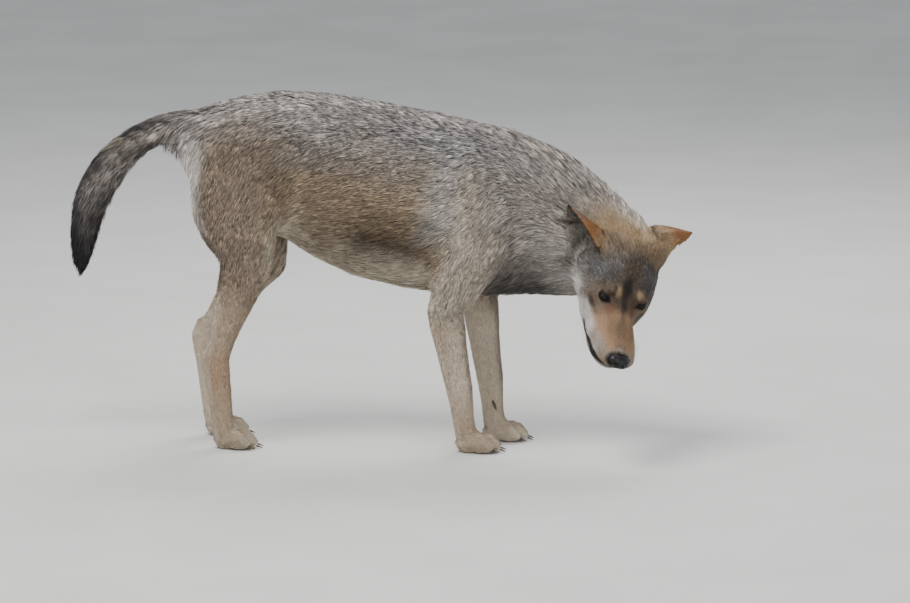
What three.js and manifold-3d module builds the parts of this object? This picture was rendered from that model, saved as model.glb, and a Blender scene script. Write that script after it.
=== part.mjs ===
// A grey wolf in its thin summer coat, standing life size. The tail is lifted and hangs in an arch, the
// head is lowered to the ground and turned to the wolf's right. The animal faces +X, its right side is -Y
// and +Z is up. Millimetres. The solids reach to the tips of the coat. The soles are cut flat at z = 0, and
// the group is moved so that the origin lies on the ground below the middle of the model's box.
import * as THREE from "three";
import { mergeVertices } from "three/addons/utils/BufferGeometryUtils.js";
import Module from "manifold-3d";

const wasm = await Module();
wasm.setup();

// ---- driving sizes
const GAP = 0.4; // left at every cut, so that neighbours never overlap
const FAR = 2000; // longer than the animal, for cutting boxes
const EYE_RADIUS = 12;
// in the head's own frame, whose origin lies between the eyes
const EYE_CENTRES = { right: [-3.4, -39, -8], left: [-8, 27.5, -4] };
const HEAD_SCALE = 1.12; // the head's frame is drawn for a smaller animal
const HEAD_AT = [516, -172, 339];
const HEAD_TURN = { yaw: -79.5, pitch: 28.5, roll: -24 }; // degrees
const TRIMMING = 0.06; // shape finer than this is left out of the cut faces
const EAR_LENGTH = 100;
const EAR_THICKNESS = 10;
const EAR_DEPTH = 1.2; // how much deeper than wide the ear's hollow is
const EAR_ROLL = 1.95; // half the angle that the ear is rolled through at its root, in radians
const EAR_BELOW = 0.25; // the share of its length that lies below the fur of the head
const CLAW_LENGTH = 17;
const CLAW_RADIUS = 3.4;
const CLAW_STANDOFF = 1.2;
const CLAW_LOWEST = 5.5;
const TOE_SPREAD = [-27, -10, 10, 27]; // sideways places of the four toes
const TOE_REACH = [0, 13, 13, 0]; // how far each toe stands forward of the outer ones
const SOLE_SINK = 3; // how much of each pad the flat sole takes off

const COLOURS = {
  grey: 0x8f8375,
  tan: 0xa98c6c,
  cream: 0xc9b8a0,
  rust: 0x9a6a42,
  dark: 0x3a3634,
  black: 0x1b1a1b,
  amber: 0xb07a2c,
  horn: 0x4a3f36,
};

// ---- solids

/** A closed geometry as a manifold solid, with its faces turned to point out. */
function solid(geometry) {
  const bare = geometry.clone();
  bare.deleteAttribute("normal");
  bare.deleteAttribute("uv");
  const merged = mergeVertices(bare, 1e-3);
  const at = merged.attributes.position;
  const faces = [];
  const corner = [new THREE.Vector3(), new THREE.Vector3(), new THREE.Vector3()];
  let volume = 0;
  for (let i = 0; i < merged.index.count; i += 3) {
    const face = [0, 1, 2].map((k) => merged.index.getX(i + k));
    if (new Set(face).size < 3) continue;
    face.forEach((v, k) => corner[k].fromBufferAttribute(at, v));
    volume += corner[0].dot(corner[1].clone().cross(corner[2]));
    faces.push(face);
  }
  const turned = volume < 0 ? faces.map(([a, b, c]) => [a, c, b]) : faces;
  return new wasm.Manifold(
    new wasm.Mesh({
      numProp: 3,
      vertProperties: new Float32Array(at.array),
      triVerts: new Uint32Array(turned.flat()),
    }),
  );
}

/** The largest single body of a solid. */
function largest(made) {
  const bodies = made.decompose();
  return bodies.reduce((a, b) => (a.volume() > b.volume() ? a : b));
}

function union(solids) {
  return solids.reduce((a, b) => a.add(b));
}

/** What is left of one solid when another is taken away with a gap all round it. */
function apart(made, other) {
  let left = made;
  for (const axis of [0, 1, 2]) {
    for (const step of [-GAP, GAP]) {
      const move = [0, 0, 0];
      move[axis] = step;
      left = left.subtract(other.translate(move));
    }
  }
  return largest(left);
}

/**
 * A sphere's mesh redrawn as rings: pointAt(t, angle) gives the surface, and pointAt(t, null) the middle of
 * the ring.
 */
function rings(along, around, pointAt) {
  const geometry = new THREE.SphereGeometry(1, around, along + 1);
  const at = geometry.attributes.position;
  const uv = geometry.attributes.uv;
  for (let i = 0; i < at.count; i++) {
    const row = Math.round((1 - uv.getY(i)) * (along + 1));
    const t = THREE.MathUtils.clamp((row - 1) / (along - 1), 0, 1);
    const pole = row === 0 || row === along + 1;
    const angle = (Math.round(uv.getX(i) * around) % around) * ((2 * Math.PI) / around);
    const point = pointAt(t, pole ? null : angle);
    at.setXYZ(i, point.x, point.y, point.z);
  }
  return geometry;
}

const FORWARD = new THREE.Vector3(1, 0, 0);
const SIDEWAYS = new THREE.Vector3(0, 1, 0);

/**
 * Flesh and coat swept through stations { at, wide, fore, aft }: half the width sideways, and the reach to
 * the front (or the top, where the sweep runs forward) and to the back. egg > 0 makes the fore side the
 * wider one, and square > 0 fills the corners of the aft side. An upright sweep keeps its rings square to X.
 */
function sweep(stations, { along = 12, around = 12, egg = 0, square = 0, upright = false } = {}) {
  const path = new THREE.CatmullRomCurve3(stations.map((s) => new THREE.Vector3(...s.at)));
  const reaches = stations.map((s) => new THREE.Vector3(s.wide, s.fore, s.aft ?? s.fore));
  const reach = new THREE.CatmullRomCurve3(reaches);
  reach.curveType = "catmullrom";
  return solid(
    rings(along, around, (t, angle) => {
      const centre = path.getPoint(t);
      if (angle === null) return centre;
      const ahead = upright ? FORWARD.clone() : path.getTangent(t);
      const fore = ahead.clone().cross(SIDEWAYS).normalize();
      const side = fore.clone().cross(ahead).normalize();
      const size = reach.getPoint(t);
      const power = Math.sin(angle) < 0 ? 1 - square : 1;
      const [c, s] = [Math.cos(angle), Math.sin(angle)].map((v) => Math.sign(v) * Math.abs(v) ** power);
      return centre
        .addScaledVector(side, size.x * c * (1 + egg * s))
        .addScaledVector(fore, (s > 0 ? size.y : size.z) * s);
    }),
  );
}

/** A sweep whose stations { x, y, top, bottom, wide } stand in a row along X, widest at `belt`. */
function lengthwise(stations, options) {
  const swept = stations.map(({ x, y = 0, top, bottom, wide, belt = (top + bottom) / 2 }) => ({
    at: [x, y, belt],
    wide,
    fore: top - belt,
    aft: belt - bottom,
  }));
  return sweep(swept, options);
}

/** An ellipsoid with the given half sizes. */
function lump(at, half, around = 8) {
  const geometry = new THREE.SphereGeometry(1, around, Math.round(around * 0.65));
  geometry.scale(...half);
  geometry.translate(...at);
  return solid(geometry);
}

/** A box from its lowest to its highest corner. */
function box(low, high) {
  const size = high.map((h, i) => h - low[i]);
  const geometry = new THREE.BoxGeometry(...size);
  geometry.translate(...low.map((l, i) => l + size[i] / 2));
  return geometry;
}

/** A box that takes all that lies beyond a plane through `at`, on the side that `towards` points to. */
function beyond(at, towards, gap = 0, half = FAR) {
  const normal = new THREE.Vector3(...towards).normalize();
  const geometry = box([0, -half, -half], [2 * half, half, half]);
  geometry.translate(-gap, 0, 0);
  const turn = new THREE.Quaternion().setFromUnitVectors(new THREE.Vector3(1, 0, 0), normal);
  geometry.applyQuaternion(turn);
  geometry.translate(...at);
  return solid(geometry);
}

// ---- the trunk: { x, top, bottom, wide } down its length
const TRUNK = [
  { x: -396, top: 618, bottom: 505, wide: 34 },
  { x: -375, top: 668, bottom: 478, wide: 60 },
  { x: -330, top: 706, bottom: 452, wide: 82 },
  { x: -262, top: 731, bottom: 438, wide: 92 },
  { x: -190, top: 740, bottom: 430, wide: 88 },
  { x: -125, top: 738, bottom: 405, wide: 90 },
  { x: -60, top: 727, bottom: 362, wide: 98 },
  { x: 15, top: 712, bottom: 332, wide: 107 },
  { x: 100, top: 696, bottom: 318, wide: 109 },
  { x: 185, top: 679, bottom: 307, wide: 104 },
  { x: 255, top: 662, bottom: 308, wide: 96 },
  { x: 312, top: 632, bottom: 330, wide: 82 },
  { x: 352, top: 585, bottom: 372, wide: 58 },
];

// ---- the neck, thick with its ruff, from the shoulders to the back of the skull
const NECK = [
  { at: [205, 0, 500], wide: 90, fore: 160, aft: 150 },
  { at: [290, 0, 482], wide: 92, fore: 170, aft: 165 },
  { at: [362, -3, 457], wide: 86, fore: 150, aft: 154 },
  { at: [422, -12, 435], wide: 78, fore: 131, aft: 134 },
  { at: [470, -28, 418], wide: 72, fore: 108, aft: 112 },
  { at: [512, -42, 408], wide: 62, fore: 88, aft: 80 },
  { at: [541, -54, 398], wide: 34, fore: 48, aft: 44 },
];

// ---- the tail, from the tip to the root
const TAIL = [
  { at: [-609, 0, 345], wide: 7, fore: 7 },
  { at: [-611, 0, 372], wide: 21, fore: 23 },
  { at: [-609, 0, 412], wide: 31, fore: 32 },
  { at: [-600, 0, 470], wide: 37, fore: 40 },
  { at: [-581, 0, 527], wide: 38, fore: 43 },
  { at: [-548, 0, 577], wide: 37, fore: 42 },
  { at: [-504, 0, 619], wide: 34, fore: 36 },
  { at: [-450, 0, 652], wide: 32, fore: 34 },
  { at: [-391, 0, 668], wide: 33, fore: 35 },
  { at: [-330, 0, 664], wide: 36, fore: 36 },
];

// ---- legs. side is -1 on the right and +1 on the left. Each is swept from the body down to the paw.
const FORE_LEG = {
  right: { side: -1, elbow: [138, 78, 312], wrist: [171, 68, 122], foot: [186, 66, 0] },
  left: { side: 1, elbow: [196, 78, 312], wrist: [222, 66, 122], foot: [232, 64, 0] },
};
const HIND_LEG = {
  right: { side: -1, knee: [-262, 76, 400], hock: [-327, 70, 186], foot: [-312, 70, 0] },
  left: { side: 1, knee: [-240, 76, 396], hock: [-366, 72, 206], foot: [-346, 70, 0] },
};

function place(leg, [x, y, z]) {
  return [x, leg.side * y, z];
}

function between(a, b, share) {
  return a.map((value, i) => value + (b[i] - value) * share);
}

function foreLeg(leg) {
  const { elbow, wrist, foot } = leg;
  const shoulder = sweep(
    [
      { at: place(leg, [178, 58, 640]), wide: 22, fore: 34 },
      { at: place(leg, [196, 72, 560]), wide: 38, fore: 66, aft: 62 },
      { at: place(leg, [216, 80, 470]), wide: 42, fore: 72, aft: 74 },
      { at: place(leg, between(elbow, [226, 80, 440], 0.55)), wide: 40, fore: 66, aft: 66 },
      { at: place(leg, elbow), wide: 34, fore: 48, aft: 40 },
      { at: place(leg, between(elbow, wrist, 0.14)), wide: 30, fore: 38, aft: 34 },
    ],
    { along: 7, around: 10 },
  );
  const forearm = sweep(
    [
      { at: place(leg, between(elbow, wrist, -0.06)), wide: 28, fore: 40, aft: 34 },
      { at: place(leg, between(elbow, wrist, 0.15)), wide: 34, fore: 41, aft: 41 },
      { at: place(leg, between(elbow, wrist, 0.42)), wide: 29, fore: 34, aft: 36 },
      { at: place(leg, between(elbow, wrist, 0.75)), wide: 25, fore: 30, aft: 32 },
      { at: place(leg, wrist), wide: 27, fore: 28, aft: 28 },
      { at: place(leg, between(wrist, foot, 0.3)), wide: 25, fore: 23, aft: 24 },
      { at: place(leg, between(wrist, foot, 0.7)), wide: 27, fore: 24, aft: 22 },
    ],
    { along: 9, around: 9 },
  );
  const point = sweep(
    [
      { at: place(leg, [elbow[0] - 12, elbow[1], elbow[2] + 26]), wide: 18, fore: 16 },
      { at: place(leg, [elbow[0] - 22, elbow[1], elbow[2] - 4]), wide: 19, fore: 17, aft: 19 },
      { at: place(leg, [elbow[0] - 10, elbow[1], elbow[2] - 38]), wide: 18, fore: 16 },
    ],
    { along: 3, around: 7 },
  );
  return union([shoulder, forearm, point]);
}

function hindLeg(leg) {
  const { knee, hock, foot } = leg;
  const thigh = sweep(
    [
      { at: place(leg, [-282, 44, 668]), wide: 26, fore: 50 },
      { at: place(leg, [-287, 58, 600]), wide: 42, fore: 88, aft: 92 },
      { at: place(leg, [-288, 64, 520]), wide: 46, fore: 100, aft: 104 },
      { at: place(leg, between(knee, [-290, 66, 500], 0.5)), wide: 46, fore: 88, aft: 88 },
      { at: place(leg, knee), wide: 42, fore: 70, aft: 62 },
      { at: place(leg, between(knee, hock, 0.2)), wide: 36, fore: 56, aft: 50 },
    ],
    { along: 8, around: 10 },
  );
  const shank = sweep(
    [
      { at: place(leg, between(knee, hock, -0.02)), wide: 38, fore: 62, aft: 54 },
      { at: place(leg, between(knee, hock, 0.25)), wide: 36, fore: 52, aft: 50 },
      { at: place(leg, between(knee, hock, 0.52)), wide: 30, fore: 38, aft: 40 },
      { at: place(leg, between(knee, hock, 0.78)), wide: 24, fore: 27, aft: 31 },
      { at: place(leg, hock), wide: 24, fore: 26, aft: 26 },
      { at: place(leg, between(hock, foot, 0.22)), wide: 24, fore: 26, aft: 27 },
      { at: place(leg, between(hock, foot, 0.5)), wide: 23, fore: 24, aft: 25 },
      { at: place(leg, between(hock, foot, 0.84)), wide: 26, fore: 24, aft: 22 },
    ],
    { along: 10, around: 9 },
  );
  const heel = sweep(
    [
      { at: place(leg, [hock[0] - 4, hock[1], hock[2] + 40]), wide: 11, fore: 14, aft: 14 },
      { at: place(leg, [hock[0] - 18, hock[1], hock[2] + 6]), wide: 14, fore: 16, aft: 15 },
      { at: place(leg, [hock[0] - 10, hock[1], hock[2] - 36]), wide: 14, fore: 16, aft: 16 },
    ],
    { along: 3, around: 7 },
  );
  return union([thigh, shank, heel]);
}

// ---- paws and claws
const PAW = { wide: 30, back: 26, front: 34, high: 40 };

function toes(leg) {
  return TOE_SPREAD.map((aside, i) => {
    const [x, y] = leg.foot;
    const root = [x + 8, leg.side * y + aside * 0.75, 27];
    const tip = [x + 52 + TOE_REACH[i], leg.side * y + aside, 12];
    return { root, tip, knuckle: [x + 33 + TOE_REACH[i], leg.side * y + aside * 0.95, 26] };
  });
}

function paw(leg, size = 1) {
  const [x, y] = leg.foot;
  const palm = lump([x + 6, leg.side * y, 22], [PAW.front * size, PAW.wide * size, PAW.high * 0.72], 6);
  const each = toes(leg).map(({ root, knuckle, tip }) =>
    sweep(
      [
        { at: root, wide: 10, fore: 13 },
        { at: knuckle, wide: 12.5 * size, fore: 15, aft: 27 },
        { at: tip, wide: 6.5, fore: 7, aft: 8 },
      ],
      { along: 3, around: 6 },
    ),
  );
  return union([palm, ...each]);
}

/** A claw that starts just clear of the toe's blunt end and bends down to the ground. */
function claw({ knuckle, tip }) {
  const lie = new THREE.Vector3(...tip).sub(new THREE.Vector3(...knuckle)).normalize();
  const stations = [0, 0.5, 1].map((share) => {
    const reach = CLAW_STANDOFF + CLAW_LENGTH * share;
    const radius = CLAW_RADIUS * (1 - 0.8 * share ** 2);
    return {
      at: [tip[0] + lie.x * reach, tip[1] + lie.y * reach, Math.max(tip[2] + lie.z * reach, CLAW_LOWEST)],
      wide: radius * 0.8,
      fore: radius,
    };
  });
  return sweep(stations, { along: 2, around: 5 });
}

/** The small claw high on the inner side of a foreleg. */
function dewclaw(leg) {
  const { wrist, foot } = leg;
  const root = place(leg, between(wrist, foot, 0.28));
  const inner = -leg.side;
  return sweep(
    [
      { at: [root[0] + 4, root[1] + inner * 22, root[2]], wide: 4, fore: 4 },
      { at: [root[0] + 8, root[1] + inner * 28, root[2] - 9], wide: 3.4, fore: 3.4 },
      { at: [root[0] + 12, root[1] + inner * 28, root[2] - 19], wide: 1, fore: 1 },
    ],
    { along: 3, around: 5 },
  );
}

// ---- the head, drawn in its own frame: +X towards the nose, the origin between the eyes
const SKULL = [
  { x: -165, top: 36, bottom: -62, wide: 52, belt: -14 },
  { x: -140, top: 55, bottom: -80, wide: 72, belt: -16 },
  { x: -105, top: 62, bottom: -88, wide: 79, belt: -20 },
  { x: -66, top: 56, bottom: -88, wide: 73, belt: -28 },
  { x: -36, top: 42, bottom: -86, wide: 63, belt: -38 },
  { x: -8, y: -5, top: 21, bottom: -83, wide: 49, belt: -48 },
  { x: 18, y: -9, top: 2, bottom: -81, wide: 41, belt: -56 },
  { x: 48, y: -4, top: -11, bottom: -80, wide: 44, belt: -60 },
  { x: 80, y: -3.5, top: -21, bottom: -79, wide: 43, belt: -61 },
  { x: 104, y: -4, top: -28, bottom: -75, wide: 38, belt: -60 },
  { x: 118, y: -6, top: -35, bottom: -69, wide: 26, belt: -58 },
  { x: 126, y: -5, top: -43, bottom: -61, wide: 13, belt: -52 },
];
const JAW = [
  { x: -98, top: -40, bottom: -92, wide: 50 },
  { x: -50, top: -38, bottom: -102, wide: 65 },
  { x: 0, y: -5, top: -55, bottom: -99, wide: 42 },
  { x: 35, y: -7, top: -58, bottom: -95, wide: 35 },
  { x: 70, y: -8, top: -58, bottom: -91, wide: 31 },
  { x: 96, y: -8, top: -59, bottom: -86, wide: 24 },
  { x: 110, y: -7, top: -61, bottom: -79, wide: 13 },
];
const NOSE_PAD = [
  { x: 109, y: -6, top: -36, bottom: -50, wide: 12 },
  { x: 119, y: -6, top: -37, bottom: -58, wide: 20 },
  { x: 129, y: -6, top: -40, bottom: -59, wide: 19 },
  { x: 135, y: -6, top: -45, bottom: -56, wide: 11 },
];
const BROW = { at: [-24, 28, 9], aside: -4, half: [32, 17, 10] };
// ahead of the eyes the head narrows towards the bridge of the muzzle, and leans to the wolf's right
const MUZZLE = { from: -12, to: 38, bridge: -8, belt: -58, narrower: 0.17, lean: 0.1 };
const MOUTH = { corner: 16, level: -70 }; // the jaw is parted from the head along this line

/** The turn and place that carry the head's own frame into the wolf's. */
function headMatrix() {
  const radians = THREE.MathUtils.degToRad;
  const turn = new THREE.Euler(
    radians(HEAD_TURN.roll),
    radians(HEAD_TURN.pitch),
    radians(HEAD_TURN.yaw),
    "ZYX",
  );
  return new THREE.Matrix4().compose(
    new THREE.Vector3(...HEAD_AT),
    new THREE.Quaternion().setFromEuler(turn),
    new THREE.Vector3(HEAD_SCALE, HEAD_SCALE, HEAD_SCALE),
  );
}

function carried(made) {
  return made.transform(headMatrix().toArray());
}

/** Shapes the part of a solid that lies ahead of the eyes into the muzzle. */
function muzzled(made) {
  const { from, to, bridge, belt, narrower, lean } = MUZZLE;
  return made.warp((v) => {
    const ahead = THREE.MathUtils.smoothstep(v[0], from, to);
    const height = THREE.MathUtils.smoothstep(v[2], belt, bridge);
    v[1] = v[1] * (1 - narrower * ahead * height) + lean * (v[2] - bridge) * ahead;
  });
}

function skull() {
  return union([
    muzzled(lengthwise(SKULL, { along: 17, around: 16, square: 0.22, upright: true })),
    muzzled(lengthwise(JAW, { along: 8, around: 10, upright: true })),
    ...Object.values(EARS).map(earRoot),
    ...[1, -1].map((side) => lump([BROW.at[0], BROW.aside + side * BROW.at[1], BROW.at[2]], BROW.half, 8)),
  ]);
}

/** The cone of muscle and fur that carries an ear. */
function earRoot({ base, towards, seat, filled }) {
  const ahead = new THREE.Vector3(...towards).normalize();
  const stations = EAR_ROOT.map(([share, radius]) => {
    const along = THREE.MathUtils.lerp(EAR_ROOT_FROM, filled, share);
    const middle = new THREE.Vector3(...base).addScaledVector(ahead, along);
    const sunk = Math.max(0, -along / 30);
    middle.lerp(new THREE.Vector3(...seat), 0.5 * sunk);
    return { at: middle.toArray(), wide: radius, fore: radius };
  });
  return sweep(stations, { along: 5, around: 8 });
}

/** An ear's own directions, and its radius, roll and distance along them at a share of its length. */
function earFrame({ towards, open, width }) {
  const ahead = new THREE.Vector3(...towards).normalize();
  const out = new THREE.Vector3(...open);
  out.addScaledVector(ahead, -out.dot(ahead)).normalize();
  const at = (t) => {
    const share = Math.max(0, 1 - t * t * 0.985);
    const radius = (width / HEAD_SCALE) * share ** 0.75 * (0.9 + 0.4 * t * (1 - t));
    const along = (EAR_LENGTH / HEAD_SCALE) * (t * (1 + EAR_BELOW) - EAR_BELOW);
    return { radius, along, roll: EAR_ROLL * (1 - 0.45 * t) };
  };
  return { ahead, out, side: ahead.clone().cross(out), at };
}

/** The room that an ear takes up, with its hollow, which the fur of the neck leaves free. */
function earRoom(own) {
  const { ahead, out, at } = earFrame(own);
  const stations = [0.12, 0.4, 0.7, 1].map((t) => {
    const { radius, along, roll } = at(t);
    const middle = new THREE.Vector3(...own.base)
      .addScaledVector(ahead, along)
      .addScaledVector(out, EAR_DEPTH * radius * Math.cos(roll));
    return { at: middle.toArray(), wide: radius + EAR_ROOM, fore: radius + EAR_ROOM };
  });
  return carried(sweep(stations, { along: 4, around: 9 }));
}

/** An ear as a rolled, pointed leaf: it grows `towards` its tip and its mouth faces `open`. */
function ear(own) {
  const { ahead, out, side, at } = earFrame(own);
  const point = (t, angle) => {
    const { radius, along, roll } = at(t);
    const thick = ((EAR_THICKNESS / HEAD_SCALE) * (1 - 0.5 * t)) / 2;
    const across = angle === null ? 0 : Math.cos(angle) * roll;
    const deep = radius - (angle === null ? 0 : thick * Math.sin(angle));
    return new THREE.Vector3(...own.base)
      .addScaledVector(ahead, along)
      .addScaledVector(side, deep * Math.sin(across))
      .addScaledVector(out, EAR_DEPTH * (radius * Math.cos(roll) - deep * Math.cos(across)));
  };
  return solid(rings(7, 10, point));
}

// the root of an ear: the share of the way from its lowest end to where it stops filling the ear, and
// the radius there; it leans in towards its seat in the head
const EAR_ROOT_FROM = -46;
const EAR_ROOM = 4; // how far the neck's fur stays clear of an ear
const EAR_ROOT = [
  [0, 30],
  [0.28, 35],
  [0.54, 32],
  [0.8, 23],
  [1, 10],
];
const EARS = {
  right: {
    base: [-100, -82, 7],
    towards: [-0.363, -0.656, 0.661],
    open: [0.6, -0.73, -0.34],
    width: 45,
    seat: [-88, -40, -20],
    filled: 4,
  },
  left: {
    base: [-132, 55, 47],
    towards: [-0.6, 0.785, 0.166],
    open: [0.22, 0.13, -0.88],
    width: 31,
    seat: [-96, 44, 20],
    filled: 32,
  },
};

// ---- parting the whole body into its named pieces

/** The part of a body beside one leg: an outline with a round top, pushed out from a leaning plane. */
function door({ side, x, top, radius, foot, lean, inner, from }, gap) {
  const outline = new THREE.Shape();
  const reach = radius + gap;
  outline.moveTo(x - reach, top - radius);
  outline.absarc(x, top - radius, reach, Math.PI, 0, true);
  outline.lineTo(foot + reach, from - gap);
  outline.lineTo(foot - reach, from - gap);
  const geometry = new THREE.ExtrudeGeometry(outline, {
    depth: 400,
    bevelEnabled: false,
    curveSegments: 6,
  });
  geometry.rotateX(Math.PI / 2); // the outline now lies in XZ and is pushed towards -Y
  geometry.translate(0, -inner + gap, 0);
  geometry.translate(0, 0, -from);
  geometry.rotateX(THREE.MathUtils.degToRad(lean));
  geometry.translate(0, 0, from);
  if (side > 0) geometry.scale(1, -1, 1);
  return solid(geometry);
}

const SHOULDER_DOOR = { x: 196, top: 655, radius: 88, foot: 165, lean: 10, inner: 4, from: 250 };
const HIP_DOOR = { x: -290, top: 690, radius: 116, foot: -292, lean: 6, inner: 6, from: 300 };
const LEG_REACH = 160; // half the length of the box that holds a whole leg below the door
const FORE_CUTS = { forepaw: 74, forearm: 268 }; // the height of each piece's top
const HIND_CUTS = { hindpaw: 62, metatarsus: 152, shank: 348 };

// planes that part the tail, the head and the neck from the trunk, and the trunk in three lengths
const PLANES = {
  tail_end: { at: [-566, 0, 556], towards: [-0.75, 0, -0.66], half: 200 },
  tail_root: { at: [-398, 0, 660], towards: [-1, 0, 0.1], half: 400 },
  head: { at: [486, -44, 400], towards: [0.42, -0.86, -0.28] },
  neck: { at: [312, 0, 480], towards: [1, 0, -0.28] },
  chest: { at: [40, 0, 500], towards: [1, 0, 0] },
  belly: { at: [-150, 0, 500], towards: [1, 0, 0] },
};

const pieces = [];

function keep(name, made, colour) {
  pieces.push({ name, made: largest(made).simplify(TRIMMING), colour });
}

/** Takes the share of `rest` inside a region, and gives back what is left with a gap to it. */
function take(rest, region, name, colour) {
  keep(name, rest.intersect(region(0)), colour);
  return rest.subtract(region(GAP));
}

/** Takes the piece beyond one of the named planes. */
function takeBeyond(rest, name, colour) {
  const { at, towards, half } = PLANES[name];
  return take(rest, (gap) => beyond(at, towards, gap, half), name, colour);
}

/** Takes a leg, cut in pieces at the given heights: the top piece is named after `top`. */
function takeLeg(rest, leg, side, { top, opening, cuts, colour }) {
  const lower = (gap) =>
    box(
      [opening.foot - LEG_REACH - gap, leg.side > 0 ? -GAP / 2 : -FAR, -1],
      [opening.foot + LEG_REACH + gap, leg.side > 0 ? FAR : GAP / 2, opening.from + gap],
    );
  const whole = (gap) => door({ ...opening, side: leg.side }, gap).add(solid(lower(gap)));
  let limb = rest.intersect(whole(0));
  for (const [part, z] of Object.entries(cuts)) {
    limb = take(limb, (gap) => beyond([0, 0, z], [0, 0, -1], gap), `${part}_${side}`, colour);
  }
  keep(`${top}_${side}`, limb, "grey");
  return rest.subtract(whole(GAP));
}

/** One eyeball, `gap` wider all round. */
function eyeball(side, gap) {
  const centre = new THREE.Vector3(...EYE_CENTRES[side]).applyMatrix4(headMatrix());
  const geometry = new THREE.SphereGeometry(EYE_RADIUS + gap, 9, 6);
  geometry.translate(centre.x, centre.y, centre.z);
  return solid(geometry);
}

function build() {
  const head = carried(skull());
  const sides = ["right", "left"];
  const legs = sides.flatMap((s) => [foreLeg(FORE_LEG[s]), hindLeg(HIND_LEG[s])]);
  const paws = sides.flatMap((s) => [paw(FORE_LEG[s], 1.06), paw(HIND_LEG[s], 0.94)]);
  const ground = solid(box([-FAR, -FAR, -FAR], [FAR, FAR, SOLE_SINK]));
  const trunk = lengthwise(TRUNK, { along: 13, around: 14, egg: 0.1 });
  const neck = Object.values(EARS).reduce(
    (flesh, own) => flesh.subtract(earRoom(own)),
    sweep(NECK, { along: 8, around: 12, egg: 0.05 }),
  );
  const body = union([trunk, neck, head]);
  const whole = union([body, sweep(TAIL, { along: 13, around: 8 }), ...legs, ...paws]).subtract(ground);

  // ears, eyes and nose
  for (const side of sides) {
    keep(`ear_${side}`, apart(carried(ear(EARS[side])), body), "rust");
  }
  let rest = whole;
  for (const side of sides) {
    keep(`eye_${side}`, eyeball(side, 0), "amber");
    rest = rest.subtract(eyeball(side, GAP));
  }
  const pad = carried(lengthwise(NOSE_PAD, { along: 5, around: 10, upright: true }));
  keep("nose_pad", pad, "black");
  rest = apart(rest, pad);

  // claws, each grown from its own toe
  for (const [name, set] of [["fore", FORE_LEG], ["hind", HIND_LEG]]) {
    for (const side of sides) {
      toes(set[side]).forEach((toe, i) => keep(`claw_${name}_${side}_${i + 1}`, claw(toe), "horn"));
    }
  }
  for (const side of sides) {
    keep(`dewclaw_${side}`, apart(dewclaw(FORE_LEG[side]), rest), "horn");
  }

  // legs
  const fore = { top: "shoulder", opening: SHOULDER_DOOR, cuts: FORE_CUTS, colour: "cream" };
  const hind = { top: "thigh", opening: HIP_DOOR, cuts: HIND_CUTS, colour: "tan" };
  for (const side of sides) {
    rest = takeLeg(rest, FORE_LEG[side], side, fore);
    rest = takeLeg(rest, HIND_LEG[side], side, hind);
  }

  // tail, head, jaw, neck, and the trunk in three lengths
  rest = takeBeyond(rest, "tail_end", "black");
  rest = takeBeyond(rest, "tail_root", "grey");
  const jawRegion = (gap) => {
    const { corner, level } = MOUTH;
    return carried(solid(box([corner - gap, -70, -200], [200, 70, level + gap])));
  };
  rest = take(rest, jawRegion, "lower_jaw", "cream");
  rest = takeBeyond(rest, "head", "tan");
  rest = takeBeyond(rest, "neck", "grey");
  rest = takeBeyond(rest, "chest", "grey");
  rest = takeBeyond(rest, "belly", "tan");
  keep("rump", rest, "grey");
}

build();

// ---- the group of named meshes, with the origin on the ground below the middle of the box
const lowest = new THREE.Vector3(Infinity, Infinity, Infinity);
const highest = lowest.clone().negate();
for (const { made } of pieces) {
  const { min, max } = made.boundingBox();
  lowest.min(new THREE.Vector3(...min));
  highest.max(new THREE.Vector3(...max));
}

const wolf = new THREE.Group();
wolf.position.set(-(lowest.x + highest.x) / 2, -(lowest.y + highest.y) / 2, -lowest.z);

for (const { name, made, colour } of pieces) {
  const { numProp, vertProperties, triVerts, numVert } = made.getMesh();
  const at = new Float32Array(numVert * 3);
  for (let i = 0; i < numVert; i++) at.set(vertProperties.subarray(i * numProp, i * numProp + 3), i * 3);
  const geometry = new THREE.BufferGeometry();
  geometry.setAttribute("position", new THREE.BufferAttribute(at, 3));
  geometry.setIndex(new THREE.BufferAttribute(triVerts, 1));
  geometry.computeVertexNormals();
  const glossy = ["nose_pad", "eye_right", "eye_left"].includes(name);
  const material = new THREE.MeshStandardMaterial({
    color: COLOURS[colour],
    roughness: glossy ? 0.2 : 0.85,
    metalness: 0,
  });
  const mesh = new THREE.Mesh(geometry, material);
  mesh.name = name;
  wolf.add(mesh);
}

export default wolf;
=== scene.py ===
"""A life-size grey wolf in its thin summer coat: one skin over the frame's flesh, a coat of solid tufts
that follows the lie of the fur, eyes, nose, claws and whiskers, on a plain stage."""

import math

import bmesh
import bpy
import numpy as np
from bpy.props import FloatProperty, FloatVectorProperty, PointerProperty
from bpy.types import Operator, Panel, PropertyGroup
from mathutils import Euler, Matrix, Vector
from mathutils.bvhtree import BVHTree
from mathutils.kdtree import KDTree


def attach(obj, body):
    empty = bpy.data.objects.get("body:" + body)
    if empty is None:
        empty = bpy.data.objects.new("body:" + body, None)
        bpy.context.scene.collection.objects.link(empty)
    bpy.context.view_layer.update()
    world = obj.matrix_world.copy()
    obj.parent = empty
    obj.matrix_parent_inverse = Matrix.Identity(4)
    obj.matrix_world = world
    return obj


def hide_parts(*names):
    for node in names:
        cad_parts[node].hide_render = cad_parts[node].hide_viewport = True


bl_info = {
    "name": "Grey wolf",
    "version": (1, 0, 0),
    "blender": (4, 5, 0),
    "location": "3D View > Sidebar > Wolf",
    "description": "Skin, tufted coat, eyes, nose and claws of a life-size wolf",
    "category": "Object",
}

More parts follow.
